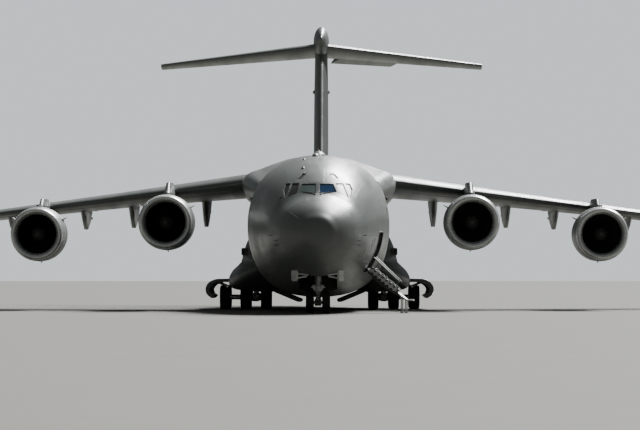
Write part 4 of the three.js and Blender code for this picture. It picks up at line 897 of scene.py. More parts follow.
def buildRivets(tree, given):
    # Sets small domes along the edges of a path, a fixed distance apart
    path = addNode(tree, "GeometryNodeMeshToCurve", {"Mesh": given["Geometry"]}).outputs["Curve"]
    points = addNode(tree, "GeometryNodeCurveToPoints", {"Curve": path, "Length": given["Pitch"]},
                     mode="LENGTH").outputs["Points"]
    dome = addNode(tree, "GeometryNodeMeshIcoSphere",
                   {"Subdivisions": 1, "Radius": given["Radius"]}).outputs["Mesh"]
    return points, dome, None


ringTree = copiesTree("ringOfParts", [("Count", "Int", 12)], buildRing)
rivetTree = copiesTree("rivetRow", [("Pitch", "Float", 0.05), ("Radius", "Float", 0.006)], buildRivets)


def runTree(bm, part, tree, values, index, place=Matrix()):
    # Adds the mesh that a tree makes from another mesh
    mesh = bpy.data.meshes.new("source")
    part.to_mesh(mesh)
    part.free()
    holder = bpy.data.objects.new("source", mesh)
    scene.collection.objects.link(holder)
    modifier = holder.modifiers.new("tree", "NODES")
    modifier.node_group = tree
    for item in tree.interface.items_tree:
        if item.name in values:
            modifier[item.identifier] = values[item.name]
    bpy.context.view_layer.update()
    result = bpy.data.meshes.new_from_object(holder.evaluated_get(bpy.context.evaluated_depsgraph_get()))
    bpy.data.objects.remove(holder)
    bpy.data.meshes.remove(mesh)
    result.transform(place)
    extra = bmesh.new()
    extra.from_mesh(result)
    bpy.data.meshes.remove(result)
    addMesh(bm, extra, index)


def ringOf(bm, part, count, centre, material, index, axis=axisY):
    # Adds copies of a part, drawn about the origin's Y axis, round a centre
    turn = axisY.rotation_difference(Vector(axis)).to_matrix().to_4x4()
    runTree(bm, outwards(part), ringTree, {"Count": count, "Material": bpy.data.materials[material]}, index,
            Matrix.Translation(centre) @ turn)


def rivetsOn(bm, paths, pitch, material="seamMetal", index=1):
    # Adds rivet heads along lines of points
    wires = bmesh.new()
    for path in paths:
        verts = [wires.verts.new(p) for p in path]
        for a, b in zip(verts, verts[1:]):
            wires.edges.new((a, b))
    runTree(bm, wires, rivetTree,
            {"Pitch": pitch, "Radius": 0.0035, "Material": bpy.data.materials[material]}, index)


def addTurned(bm, centre, profile, index=0, axis=axisY, sides=32, wrap=1.0):
    # A turned wall with its own surface map, from rows of distance along the axis and radius
    layer = bm.loops.layers.uv.get("surface") or bm.loops.layers.uv.new("surface")
    axis = Vector(axis).normalized()
    across, down = crossAxes(axis)
    profile = [(along * modelScale, radius * modelScale) for along, radius in profile]
    rows, travelled, last = [], 0.0, profile[0]
    for along, radius in profile:
        travelled += math.hypot(along - last[0], radius - last[1])
        last = along, radius
        ring = [bm.verts.new(centre + axis * along + (across * cos(t) - down * sin(t)) * max(radius, 1e-5))
                for t in turns(sides)]
        rows.append((ring, travelled))
    for (a, ta), (b, tb) in zip(rows, rows[1:]):
        for i in range(sides):
            j = (i + 1) % sides
            face = bm.faces.new((a[i], a[j], b[j], b[i]))
            face.material_index = index
            for loop, (t, k) in zip(face.loops, ((ta, i), (ta, i + 1), (tb, i + 1), (tb, i))):
                loop[layer].uv = (t, k / sides * wrap)


# Engines: cowl, intake, stator vanes, nozzle and core
cowl = {
    "outer": [(0.3, 1.33), (1.0, 1.4), (2.2, 1.4), (3.5, 1.26), (4.5, 1.1)],
    "core": [(1.85, 0.6), (2.4, 0.68), (3.0, 0.72), (4.5, 0.66), (5.25, 0.44)],
    "duct": [(1.6, 1.0), (1.5, 0.995), (1.0, 0.99), (0.8, 0.995), (0.4, 1.0)],
    "back": [(1.6, 0.14), (1.6, 1.0)],
    "nozzle": [(4.5, 1.1), (4.505, 1.08), (4.5, 1.06), (3.6, 1.12), (1.85, 1.1), (1.85, 0.6)],
    "plug": [(5.25, 0.44), (5.24, 0.42), (5.0, 0.42), (5.0, 0.28), (5.25, 0.26), (5.25, 0.26), (5.6, 0.12),
             (5.9, 0.0)],
    "strake": [(0.75, 1.36), (1.55, 1.63), (2.05, 1.66), (2.25, 1.38)], "strakeAngle": 58,
    "mast": [(2.7, 1.3), (2.85, 1.47), (3.1, 1.47), (3.25, 1.25)],
    "lip": (0.3, 1.2, 0.13), "throat": (0.4, 0.2), "statorVanes": 44, "fasteners": 64,
    "fastenerRing": 0.34, "latches": (1.35, 1.77, 2.19, 2.61, 3.03),
}


def makeCowl(name, label, engine, side):
    centre = at(side * engine["x"], engine["lip"], engine["z"])
    outer, core = smoothTable(cowl["outer"]), smoothTable(cowl["core"])
    depth, lipRadius, rise = cowl["lip"]
    duct, drop = cowl["throat"]
    bm = bmesh.new()
    quarter = [k * pi / 16 for k in range(9)]
    skin = [(0.3 + k * 0.1, outer(0.3 + k * 0.1)[0]) for k in range(43)]
    # Lip and outer skin, then the intake wall, the disc behind the fan and the bypass duct, which are near
    # black as painted shade
    for rows, index, wrap in (
            ([(depth * (1 - cos(t)), lipRadius + rise * sin(t)) for t in quarter], 1, 1.0),
            ([(skin[0][0], skin[0][1] - 0.002)] + skin, 0, 4.4),
            ([(duct * (1 - cos(t)), lipRadius - drop * sin(t)) for t in reversed(quarter)], 1, 1.0),
            (cowl["duct"], 2, 1.0), (cowl["back"], 4, 1.0), (cowl["nozzle"], 4, 1.0),
            ([(1.85 + k * 0.17, core(1.85 + k * 0.17)[0]) for k in range(21)], 3, 1.0),
            (cowl["plug"], 3, 1.0)):
        addTurned(bm, centre, rows, index, sides=72, wrap=wrap)
    tidy(bm, 1e-4)
    # Stator vanes behind the fan
    vane = bmesh.new()
    gridFaces(vane, [[Vector((c * sin(turn) + n * cos(turn), 1.5 + c * cos(turn), radius)) * modelScale
                      for c, n in ((-chord, 0), (0, 0.012), (chord, 0), (0, -0.012))]
                     for radius, turn, chord in ((0.34, 0.25, 0.1), (1.0, 0.12, 0.12))], capped=True)
    ringOf(bm, vane, cowl["statorVanes"], centre, "burntMetal", 3)
    # Strakes near two and ten o'clock, and the drain mast
    for angle in (radians(cowl["strakeAngle"]), -radians(cowl["strakeAngle"])):
        out, across = Vector((sin(angle), 0, cos(angle))), Vector((cos(angle), 0, -sin(angle)))
        outline = [centre + (axisY * a + out * r - across * 0.01) * modelScale for a, r in cowl["strake"]]
        addOutline(bm, outline, across * 0.02 * modelScale, bevel=0.002)
    mast = [centre + Vector((-0.02, a, -r)) * modelScale for a, r in cowl["mast"]]
    addOutline(bm, mast, axisX * 0.04 * modelScale, bevel=0.003)
    # Latches along the cowl split and a ring of fasteners behind the lip
    for along in cowl["latches"]:
        place = centre + Vector((0, along, -outer(along)[0])) * modelScale
        addBox(bm, place, axesXyz, (0.024, 0.06, 0.012), 0.003, 1)
    head = bmesh.new()
    along = cowl["fastenerRing"]
    place = Matrix.Translation(Vector((0, along, outer(along)[0])) * modelScale)
    bmesh.ops.create_icosphere(head, subdivisions=1, radius=0.007, matrix=place)
    ringOf(bm, head, cowl["fasteners"], centre, "bareMetal", 1)
    newPiece(f"cowl{name.capitalize()}{label.capitalize()}", bm, "cowlSkin lipMetal ductGrey burntMetal soot",
             "engine_cowl", node=f"nacelle_{name}_{label}", doubles=None)


# Fans: spinner and twisted blades
fan = {
    "blades": 36, "hub": 0.34, "tip": 0.965, "middle": 1.23,
    # columns: radius share, half chord, turn of the blade in degrees, half thickness
    "sections": [(0.0, 0.16, 22, 0.014), (0.35, 0.17, 34, 0.011), (0.7, 0.17, 48, 0.008),
                 (1.0, 0.15, 60, 0.005)],
    "round": ((-1, 0), (-0.5, 0.8), (0, 1), (0.5, 0.8), (1, 0), (0.5, -0.6), (0, -0.8), (-0.5, -0.6)),
    "spinner": [(0.5, 0.0), (0.53, 0.05), (0.6, 0.13), (0.72, 0.22), (0.86, 0.3), (0.98, 0.36),
                (1.46, 0.37), (1.48, 0.14), (2.05, 0.14), (2.05, 0.0)],
}


def makeFan(name, label, engine, side):
    centre = at(side * engine["x"], engine["lip"], engine["z"])
    bm = bmesh.new()
    addTurned(bm, centre, fan["spinner"], 1, sides=40)
    tidy(bm, 1e-4)
    rings = []
    for share, chord, turn, thick in fan["sections"]:
        radius, t = between(fan["hub"], fan["tip"], share), radians(turn) * side
        ring = []
        for c, n in fan["round"]:
            thickness = n * thick + 0.025 * (1 - c * c)
            x = c * chord * sin(t) + thickness * cos(t)
            y = fan["middle"] + c * chord * cos(t) - thickness * sin(t)
            ring.append(Vector((x, y, math.sqrt(radius ** 2 - x ** 2))) * modelScale)
        rings.append(ring)
    blade = bmesh.new()
    gridFaces(blade, rings, capped=True)
    ringOf(bm, blade, fan["blades"], centre, "fanMetal", 0)
    node = f"fan_{name}_{label}"
    newPiece(f"fan{name.capitalize()}{label.capitalize()}", bm, "fanMetal spinnerGrey", "fan_metal", 40,
             node, node, None)


for label, side in bothSides:
    for name, engine in engines.items():
        makeCowl(name, label, engine, side)
        makeFan(name, label, engine, side)
print("engines made")

# Radome with its joint ring and lightning strips
radome = {
    "stations": [0, 0.004, 0.02, 0.05, 0.1, 0.18, 0.3, 0.45, 0.65, 0.9, 1.2, 1.4, 1.497],
    "tip": 0.25, "sides": 96, "strips": (10, 38, 58, 86), "stripStations": (0.35, 0.5, 0.7, 0.95, 1.2, 1.42),
    "rivetRing": 1.478, "rivetPitch": 0.045,
}


def makeRadome():
    bm = bmesh.new()
    layer = bm.loops.layers.uv.new("surface")
    # The nose is rounded: a half-oval at the tip, then the body's own curve
    angles = turns(radome["sides"])
    rings = []
    for station in radome["stations"]:
        halfWidth, bottom, top, middle, power = bodySection(max(station, radome["tip"]))
        shrink = math.sqrt(1 - max(1 - station / radome["tip"], 0) ** 2)
        bottom, top = between(middle, bottom, shrink), between(middle, top, shrink)
        section = halfWidth * shrink, bottom, top, middle, power
        rings.append([sectionPoint(section, station, t) for t in angles])
    rows = gridFaces(bm, rings)
    for face in bm.faces:
        station = min(v.co.y for v in face.verts) / modelScale + overallLength / 2
        for loop in face.loops:
            loop[layer].uv = (1.0 + station * modelScale, 1.0)
    bm.faces.new([bm.verts.new(v.co) for v in rows[-1]])
    tidy(bm, 1e-5)
    # Lightning strips that run back from the tip
    for i in radome["strips"]:
        addTube(bm, [bodyPoint(s, angles[i], -0.004) for s in radome["stripStations"]], 0.0035, 6, 1)
    ring = [bodyPoint(radome["rivetRing"], t, -0.002) for t in angles + angles[:1]]
    rivetsOn(bm, [ring], radome["rivetPitch"], "bareMetal")
    newPiece("noseRadome", bm, "radomeSkin seamMetal", "radome_skin", 50, "radome", doubles=None)


makeRadome()
print("radome made")

# Cockpit windows: tinted panes in rubber seals, with wipers, and a painted sky reflection on one centre pane
windows = {
    # outlines of left distance and height in the left half, seen from the front
    "outlines": [
        [(0.075, 5.54), (0.875, 5.57), (0.715, 5.96), (0.075, 5.96)],
        [(0.94, 5.56), (1.42, 5.31), (1.17, 5.99), (0.83, 5.99)],
        [(1.5, 5.31), (1.585, 5.7), (1.467, 5.97), (1.235, 6.0)],
        [(0.74, 6.18), (0.95, 6.21), (0.73, 6.48), (0.53, 6.45)],
    ],
    "glassInset": 0.04, "seal": 0.009, "rivetOut": 0.075, "rivetPitch": 0.03, "brow": 6.08, "frontPane": 0.88,
    "wiper": [(0.13, 5.475), (0.2, 5.5), (0.62, 5.6)], "blade": [(0.3, 5.53), (0.5, 5.575), (0.72, 5.6)],
}


def onFront(x, z, inset=0.0):
    # The point of the nose's skin that is seen at a left distance and a height
    low, high = 0.0, 9.0
    for _ in range(26):
        station = (low + high) / 2
        halfWidth, bottom, top, middle, power = bodySection(station)
        rise = ((top - middle) if z > middle else (middle - bottom)) - inset
        inside = (abs(x) / (halfWidth - inset)) ** power + (abs(z - middle) / rise) ** power < 1
        low, high = (low, station) if inside else (station, high)
    return at(x, station, z)


def grownOutline(outline, amount, steps=6):
    # An outline moved outwards from its middle, with points along its sides
    middle = [sum(values) / len(outline) for values in zip(*outline)]
    corners = [mixRows(middle, p, 1 + amount / math.dist(p, middle)) for p in outline]
    return [mixRows(a, b, k / steps) for a, b in zip(corners, corners[1:] + corners[:1])
            for k in range(steps)]


def makeWindows():
    def tint(middle, onForm):
        x = middle.x / modelScale
        if not onForm:
            return 0
        if middle.z / modelScale > windows["brow"] or abs(x) > windows["frontPane"]:
            return 3
        # The centre panes: deep blue on the right seen from the front as a painted sky reflection, green on
        # the left
        return 2 if x > 0 else 1
    dressNode("cockpit_glazing", "windowPanes", [bodyForm(windows["glassInset"])],
              "cabinGrey paneGreen paneBlue paneSmoke", 0.05, "window_glass", paint=tint)
    bm = bmesh.new()
    rivetLines = []
    for side in (1, -1):
        for outline in windows["outlines"]:
            line, rim = grownOutline(outline, 0.0), grownOutline(outline, windows["rivetOut"])
            addTube(bm, [onFront(side * x, z, 0.02) for x, z in line + line[:2]], windows["seal"], 6,
                    capped=False)
            rivetLines.append([onFront(side * x, z) for x, z in rim + rim[:1]])
        arm = [onFront(side * x, z, -0.02) for x, z in windows["wiper"]]
        addTube(bm, arm, [0.011, 0.008, 0.005], 8)
        addTube(bm, [onFront(side * x, z, -0.012) for x, z in windows["blade"]], 0.005, 6)
        addBall(bm, arm[0], 0.02)
    rivetsOn(bm, rivetLines, windows["rivetPitch"])
    newPiece("windowSeals", bm, "sealBlack seamMetal", "tyre_rubber", 45)


makeWindows()
print("windows made")

# Flight deck behind the glass: seats, wheels on columns, panel and screens
flightDeck = {
    "floor": 4.42, "seatX": 0.62, "seatStation": 4.15,
    # columns: left distance, distance behind the seat, height over the floor, half sizes, material, bevel
    "seat": [(0, -0.03, 0.42, (0.25, 0.26, 0.055), 1, 0.05), (0, 0.24, 0.78, (0.24, 0.055, 0.34), 1, 0.05),
             (0, 0.22, 1.2, (0.13, 0.05, 0.1), 1, 0.04), (-0.29, 0, 0.6, (0.025, 0.2, 0.025), 0, 0.015),
             (0.29, 0, 0.6, (0.025, 0.2, 0.025), 0, 0.015), (0, 0, 0.18, (0.1, 0.14, 0.2), 0, 0.01)],
    "column": [(0, 3.55, 0), (0, 3.5, 0.5), (0, 3.62, 0.62)],
    "yoke": [(-0.17, 3.6, 0.72), (-0.15, 3.62, 0.6), (0.15, 3.62, 0.6), (0.17, 3.6, 0.72)],
}


def makeFlightDeck():
    floor, station = flightDeck["floor"], flightDeck["seatStation"]
    bm = bmesh.new()

    def put(x, s, z, half, index, bevel=0.01):
        addBox(bm, at(x, s, floor + z), axesXyz, half, bevel * modelScale, index)
    for side in (1, -1):
        seatX = side * flightDeck["seatX"]
        for x, behind, z, half, index, bevel in flightDeck["seat"]:
            put(seatX + x, station + behind, z, half, index, bevel)
        for line, radius in (("column", 0.014), ("yoke", 0.01)):
            addRod(bm, [(seatX + x, s, floor + z) for x, s, z in flightDeck[line]], radius, 8)
        for k in range(3):
            put(side * (0.25 + 0.33 * k), 3.215, 0.52, (0.14, 0.012, 0.14), 2)
    put(0, 2.98, 0.35, (1.3, 0.22, 0.33), 0, 0.04)
    for k in range(4):
        put(0, 3.3 + k * 0.24, 0.57, (0.17, 0.09, 0.012), 2, 0.004)
    newPiece("flightDeckFittings", bm, "cabinGrey seatFabric screenGlass", "deck_metal", 40, doubles=None)


makeFlightDeck()
print("flight deck made")

# Wheels: tyres with grooves, dished rims and bolts, on an axle
wheels = {
    "main": {"centres": (2.84, 3.92, 5.0), "radius": 0.635, "half": 0.2665, "spindle": 0.13, "z": 0.635},
    "nose": {"centres": (-0.38, 0.38), "radius": 0.508, "half": 0.19, "spindle": 0.07, "z": 0.508},
    # columns: share of the half width, share of the radius
    "tyre": [(0.5, 0.5), (0.72, 0.53), (0.92, 0.62), (1.0, 0.76), (0.96, 0.89), (0.84, 0.96), (0.66, 0.992),
             (0.6, 0.993), (0.585, 0.972), (0.55, 0.972), (0.535, 0.998), (0.23, 1.0), (0.215, 0.978),
             (0.17, 0.978), (0.155, 1.0)],
    "rim": [(0.5, 0.5), (0.56, 0.47), (0.5, 0.44), (0.22, 0.41), (0.1, 0.36), (0.06, 0.24), (0.24, 0.21),
            (0.5, 0.17)],
    # columns: count, sides, front and back radius, depth, share of the half width, share of the radius
    "bolts": (12, 6, 0.022, 0.02, 0.02, 0.3, 0.3), "holes": (9, 12, 0.03, 0.03, 0.012, 0.2, 0.395),
    "stations": {"front": 24.1, "rear": 26.8, "nose": 5.4},
}


def addWheel(bm, spec, x, station, outward):
    # One wheel about a cross axle; outward is the side that its bolts face
    centre = at(x, station, spec["z"])
    half, radius = spec["half"], spec["radius"]
    profile = [(w * half, r * radius) for w, r in wheels["tyre"]]
    addTurned(bm, centre, [(-w, r) for w, r in profile] + profile[::-1], 0, axisX, 64)
    for face in (1, -1):
        rim = [(face * w * half, r * radius) for w, r in wheels["rim"]] + [(face * 0.5 * half, 0.002)]
        addTurned(bm, centre, rim, 1, axisX, 40)
    # Bolt heads, and near-black discs painted as shade in the rims' holes
    for row, material, index in (("bolts", "bareMetal", 2), ("holes", "soot", 3)):
        count, sides, front, back, depth, out, share = wheels[row]
        part = bmesh.new()
        place = Matrix.Translation(Vector((0, out * half, share * radius)) * modelScale)
        bmesh.ops.create_cone(part, cap_ends=True, segments=sides, radius1=front * radius / 0.6,
                              radius2=back * radius / 0.6, depth=depth,
                              matrix=place @ Matrix.Rotation(pi / 2, 4, "X"))
        ringOf(bm, part, count, centre, material, index, (outward, 0, 0))


def makeWheelSet(name, node, spec, station, side):
    bm = bmesh.new()
    centres = [side * x for x in spec["centres"]]
    for x in centres:
        addWheel(bm, spec, x, station, 1 if x > 0 else -1)
    addRod(bm, [(x, station, spec["z"]) for x in (centres[0], centres[-1])],
           spec["spindle"] * modelScale * 0.99, 28, 2)
    newPiece(name, bm, "rubberBlack rimGrey bareMetal soot", "tyre_rubber", 35, node, node)


for label, side in bothSides:
    for place in ("front", "rear"):
        makeWheelSet(f"mainWheels{place.capitalize()}{label.capitalize()}", f"main_wheels_{place}_{label}",
                     wheels["main"], wheels["stations"][place], side)
makeWheelSet("noseWheelPair", "nose_wheels", wheels["nose"], wheels["stations"]["nose"], 1)
print("wheels made")

# Landing gear legs; turned parts are rows of distance along the leg and radius
legs = {
    "x": 3.38, "lean": 0.85, "noseBrace": [(0, 5.32, 1.3), (0, 4.7, 1.6), (0, 4.12, 1.88)],
    "lampCable": [(0.55, 0.1, 1.5), (0.6, 0.15, 1.38), (0.8, 0.08, 1.27)],
    "piston": [(0.5, 0.001), (0.5, 0.1), (0.66, 0.105), (1.28, 0.105)],
    "barrel": [(1.24, 0.105), (1.24, 0.145), (1.26, 0.15), (1.36, 0.15), (1.37, 0.138), (1.62, 0.138),
               (1.63, 0.15), (1.72, 0.15), (1.73, 0.14), (2.19, 0.14), (2.19, 0.001)],
    "collar": [(-0.15, 0.132), (-0.15, 0.21), (-0.13, 0.228), (0.13, 0.228), (0.15, 0.21), (0.15, 0.132)],
    "band": [(-0.035, 0.135), (-0.035, 0.2), (0.035, 0.2), (0.035, 0.135)],
    "hose": [(0.1, 0.12, 1.9), (0.17, 0.2, 1.45), (0.22, 0.3, 1.1), (0.2, 0.22, 0.84), (0.16, 0.1, 0.72)],
    "noseBarrel": [(1.003, 0.095), (1.003, 0.14), (1.03, 0.16), (1.14, 0.16), (1.15, 0.148), (1.5, 0.148),
                   (1.51, 0.16), (1.6, 0.16), (1.61, 0.15), (1.855, 0.15), (1.855, 0.001)],
    "lamp": [(-0.07, 0.001), (-0.06, 0.06), (0.0, 0.088), (0.045, 0.094), (0.045, 0.08), (0.02, 0.075)],
    "lens": [(0.02, 0.076), (0.03, 0.05), (0.034, 0.001)],
    "nosePiston": [(0.5, 0.001), (0.5, 0.11), (0.62, 0.128), (0.7, 0.128), (0.72, 0.1), (0.94, 0.1)],
    "swivel": [(0.93, 0.1), (0.93, 0.128), (0.998, 0.128), (0.998, 0.088), (1.39, 0.088), (1.39, 0.001)],
    "noseCollar": [(-0.16, 0.072), (-0.16, 0.14), (-0.14, 0.158), (0.14, 0.158), (0.16, 0.14), (0.16, 0.072)],
}


def addTorqueLink(bm, x, *places):
    # Two tapered arms that fold at a knee between a hinge and a foot, given by station and height
    hinge, knee, foot = places
    for end in (hinge, foot):
        for off in (-0.075, 0.075):
            start, stop = (x + off, *end), (x + off * 0.4, *knee)
            addRod(bm, [start, mixRows(start, stop, 0.5), stop], [0.022, 0.018, 0.014], 8)
    for (station, z), half, radius in ((knee, 0.06, 0.02), (hinge, 0.1, 0.024), (foot, 0.1, 0.024)):
        addRod(bm, [(x - half, station, z), (x + half, station, z)], radius, index=2)


def makeMainLeg(place, label, side):
    station = wheels["stations"][place]
    x, aft = side * legs["x"], -1 if place == "front" else 1
    bm = bmesh.new()
    foot, collar = at(x, station, 0), at(x, station, wheels["main"]["z"])
    addTurned(bm, foot, legs["piston"], 1, axisZ)
    addTurned(bm, foot, legs["barrel"], 0, axisZ)
    addTurned(bm, collar, legs["collar"], 0, axisX)
    for off in (-0.19, 0.19):
        addTurned(bm, collar, [(off + along, radius) for along, radius in legs["band"]], 3, axisX)
    lean = legs["lean"]
    addRod(bm, [(x, station + aft * back, z) for back, z in ((0.09, 1.2), (lean * 0.55, 1.75), (lean, 2.19))],
           [0.036, 0.03, 0.034], 16)
    addTorqueLink(bm, x, (station - 0.15, 1.3), (station - 0.42, 0.98), (station - 0.2, 0.72))
    for off in (-0.05, 0.05):
        hose = [(x + side * (out + off), station + back, z) for out, back, z in legs["hose"]]
        addRod(bm, hose, 0.009, 8, 3)
    newPiece(f"mainLeg{place.capitalize()}{label.capitalize()}", bm,
             "gearWhite chromeSteel bareMetal sealBlack", "gear_metal", node=f"main_leg_{place}_{label}")


def makeNoseGear():
    station = wheels["stations"]["nose"]
    foot, forwards = at(0, station, 0), (0, -1, 0)
    leg = bmesh.new()
    addTurned(leg, foot, legs["noseBarrel"], 0, axisZ)
    addRod(leg, legs["noseBrace"], [0.042, 0.036, 0.04], 20)
    addBox(leg, at(0, station, 1.21), axesXyz, (0.34, 0.05, 0.03), 0.006)
    for x in (-0.2, 0.2):
        addTurned(leg, at(x, station - 0.12, 1.24), legs["lamp"], 0, forwards, 24)
        addTurned(leg, at(x, station - 0.12, 1.24), legs["lens"], 4, forwards, 24)
        cable = [(x * share, station - ahead, z) for share, ahead, z in legs["lampCable"]]
        addRod(leg, cable, 0.006, 8, 3)
        addRod(leg, [(x * 0.7, station - 0.03, 1.12), (x * 0.91, station + 0.22, 1.12)], 0.03, 16, 2)
    newPiece("noseLeg", leg, "gearWhite chromeSteel bareMetal sealBlack lampGlass", "gear_metal",
             node="nose_leg")
    fork = bmesh.new()
    addTurned(fork, foot, legs["nosePiston"], 1, axisZ)
    addTurned(fork, foot, legs["swivel"], 0, axisZ)
    addTurned(fork, at(0, station, wheels["nose"]["z"]), legs["noseCollar"], 0, axisX)
    addTorqueLink(fork, 0, (station - 0.13, 0.93), (station - 0.29, 0.79), (station - 0.13, 0.65))
    addRod(fork, [(-0.06, station - 0.16, 0.56), (0, station - 0.24, 0.53), (0.06, station - 0.16, 0.56)],
           0.012, 8, 2)
    # The fork is a mid grey rather than the leg's white: painted shade on the lower gear
    newPiece("noseFork", fork, "innerGrey chromeSteel bareMetal sealBlack", "gear_metal",
             node="nose_steering", body="nose_steering")


for label, side in bothSides:
    for place in ("front", "rear"):
        makeMainLeg(place, label, side)
makeNoseGear()
print("landing gear made")

# Landing gear doors
gearDoors = {
    "outer": [(4.47, 1.43), (5.25, 1.43), (5.58, 1.31), (5.76, 1.08), (5.7, 0.86), (5.5, 0.72),
              (5.62, 0.58), (5.9, 0.78), (5.98, 1.1), (5.8, 1.42), (5.35, 1.6), (4.47, 1.62)],
    "inner": [(2.5, 1.6), (2.42, 0.95), (1.05, 0.38), (0.93, 0.42), (0.95, 0.54), (2.22, 1.06), (2.34, 1.6)],
    "front": 22.8, "rear": 28.1, "ribs": 7, "links": (23.6, 27.3),
    "link": ((4.42, 0, 1.46), (4.86, 0, 1.2), (5.36, 0.1, 1.4)),
    # faces of the nose gear's doors: first and last point of left distance and station
    "nose": {"faces": [((0.965, 2.465), (1.21, 2.925)), ((0.9, 2.5), (1.145, 2.96))], "foot": 1.5,
             "corner": 0.07,
             "arms": [((0.95, 2.52, 1.86), (0.5, 2.52, 1.79)), ((0.95, 2.54, 1.64), (0.55, 2.66, 1.72))]},
}


def curvedRun(first, last, steps=7):
    # Points first to last of the outer door's outline, rounded between them
    points = gearDoors["outer"]
    return [roundedLoop(points, k + t / steps) for k in range(first, last)
            for t in range(steps)] + [points[last]]


def ribStations(margin):
    first, last = gearDoors["front"] + margin, gearDoors["rear"] - margin
    return [between(first, last, k / (gearDoors["ribs"] - 1)) for k in range(gearDoors["ribs"])]


def addDoorPanel(bm, outline, side, bevel):
    length = (gearDoors["rear"] - gearDoors["front"]) * modelScale
    addOutline(bm, [at(side * x, gearDoors["front"], z) for x, z in outline], axisY * length, bevel=bevel)


def makeMainDoors(label, side):
    spec = gearDoors
    bm = bmesh.new()
    edge = [spec["outer"][0]] + curvedRun(1, 5) + curvedRun(6, 10) + [spec["outer"][11]]
    addDoorPanel(bm, edge, side, 0.006)
    for station in ribStations(0.15):
        addTube(bm, [at(side * (x - 0.012), station, z - 0.012) for x, z in curvedRun(1, 4, 5)], 0.014, 8, 1)
    for station in spec["links"]:
        head, knee, foot = ([side * x, station + back, z] for x, back, z in spec["link"])
        addRod(bm, [head, knee], 0.02, index=2)
        addRod(bm, [knee, foot], 0.02, index=2)
        addRod(bm, [(knee[0], station + off, knee[2]) for off in (-0.1, 0.1)], 0.026, index=3)
    rivetLines = [[at(side * (x + 0.004), spec["front"] + 0.1 + k * 2.55, z + 0.004)
                   for x, z in curvedRun(7, 10, 6)] for k in range(3)]
    rivetsOn(bm, rivetLines, 0.05, index=3)
    newPiece("mainOuterDoor" + label.capitalize(), bm, "doorPaint innerGrey gearWhite bareMetal",
             "door_white", 40, f"main_outer_door_{label}")
    bm = bmesh.new()
    addDoorPanel(bm, spec["inner"], side, 0.008)
    # A rolled edge at the foot, and stiffeners on the face towards the wheels
    addRod(bm, [(side, spec["front"] + 0.03, 0.47), (side, spec["rear"] - 0.03, 0.47)], 0.042, 16, 1)
    for station in ribStations(0.2):
        addRod(bm, [(side * 1.12, station, 0.41), (side * 2.38, station, 0.935)], 0.016, 8, 1)
    for station in spec["links"]:
        addRod(bm, [(side * 2.0, station, 0.97), (side * 2.5, station - 0.15, 1.32)], 0.018, index=2)
    newPiece("mainInnerDoor" + label.capitalize(), bm, "doorPaint innerGrey gearWhite", "door_white", 40,
             f"main_inner_door_{label}")


def makeNoseDoor(label, side):
    # A short plate that stands splayed in front of the wheels, with its head on the belly
    spec = gearDoors["nose"]
    faces = []
    for first, last in spec["faces"]:
        rows = []
        for share in (k / 8 for k in range(9)):
            x, s = mixRows(first, last, share)
            halfWidth, bottom, top, middle, power = bodySection(s)
            head = middle - (middle - bottom) * (1 - (x / halfWidth) ** power) ** (1 / power) - 0.006
            # The foot's corners are rounded
            foot = spec["foot"] + spec["corner"] * (abs(share - 0.5) * 2) ** 6
            rows.append([at(side * x, s, between(foot, head, t / 6)) for t in range(7)])
        faces.append(rows)
    bm = bmesh.new()
    addShell(bm, *faces)
    # Arms that run in to the bay, with lugs, and a stiffener across the plate
    for arm in spec["arms"]:
        ends = [at(side * x, s, z) for x, s, z in arm]
        addTube(bm, ends, 0.02, 14, 1)
        for end in ends:
            addBall(bm, end, 0.03, 14)
    addTube(bm, [between(faces[0][k][2], faces[0][k][3], 0.4) for k in (1, -2)], 0.012, 10, 1)
    # Both faces are light: the inner face's white paint, and painted bounce light on the outer face, which is
    # grey on the real door
    newPiece("noseGearDoor" + label.capitalize(), bm, "doorWhite gearWhite", "door_white", 40,
             f"nose_gear_door_{label}")


for label, side in bothSides:
    makeMainDoors(label, side)
    makeNoseDoor(label, side)
print("gear doors made")

# Crew stair: the door's curved panel swung down, with stringers, treads, rails, and a lower step on props
stair = {
    "front": 6.3, "rear": 7.25, "sill": 1.98, "head": 3.78, "hingeOut": 0.07, "gap": 0.012, "wall": 0.1,
    "slope": 38.8, "opening": 107, "start": 0.1, "length": 1.74, "stringer": 0.32, "plate": 0.06,
    "frontInset": 0.14,
    "rearInset": 0.07, "treads": 7, "railHeight": 0.74, "railEnd": 0.6, "railFoot": 1.55, "tube": 0.012,
    "step": (1.8, 2.34), "props": (2.02, 2.28), "footHeight": 0.12,
}


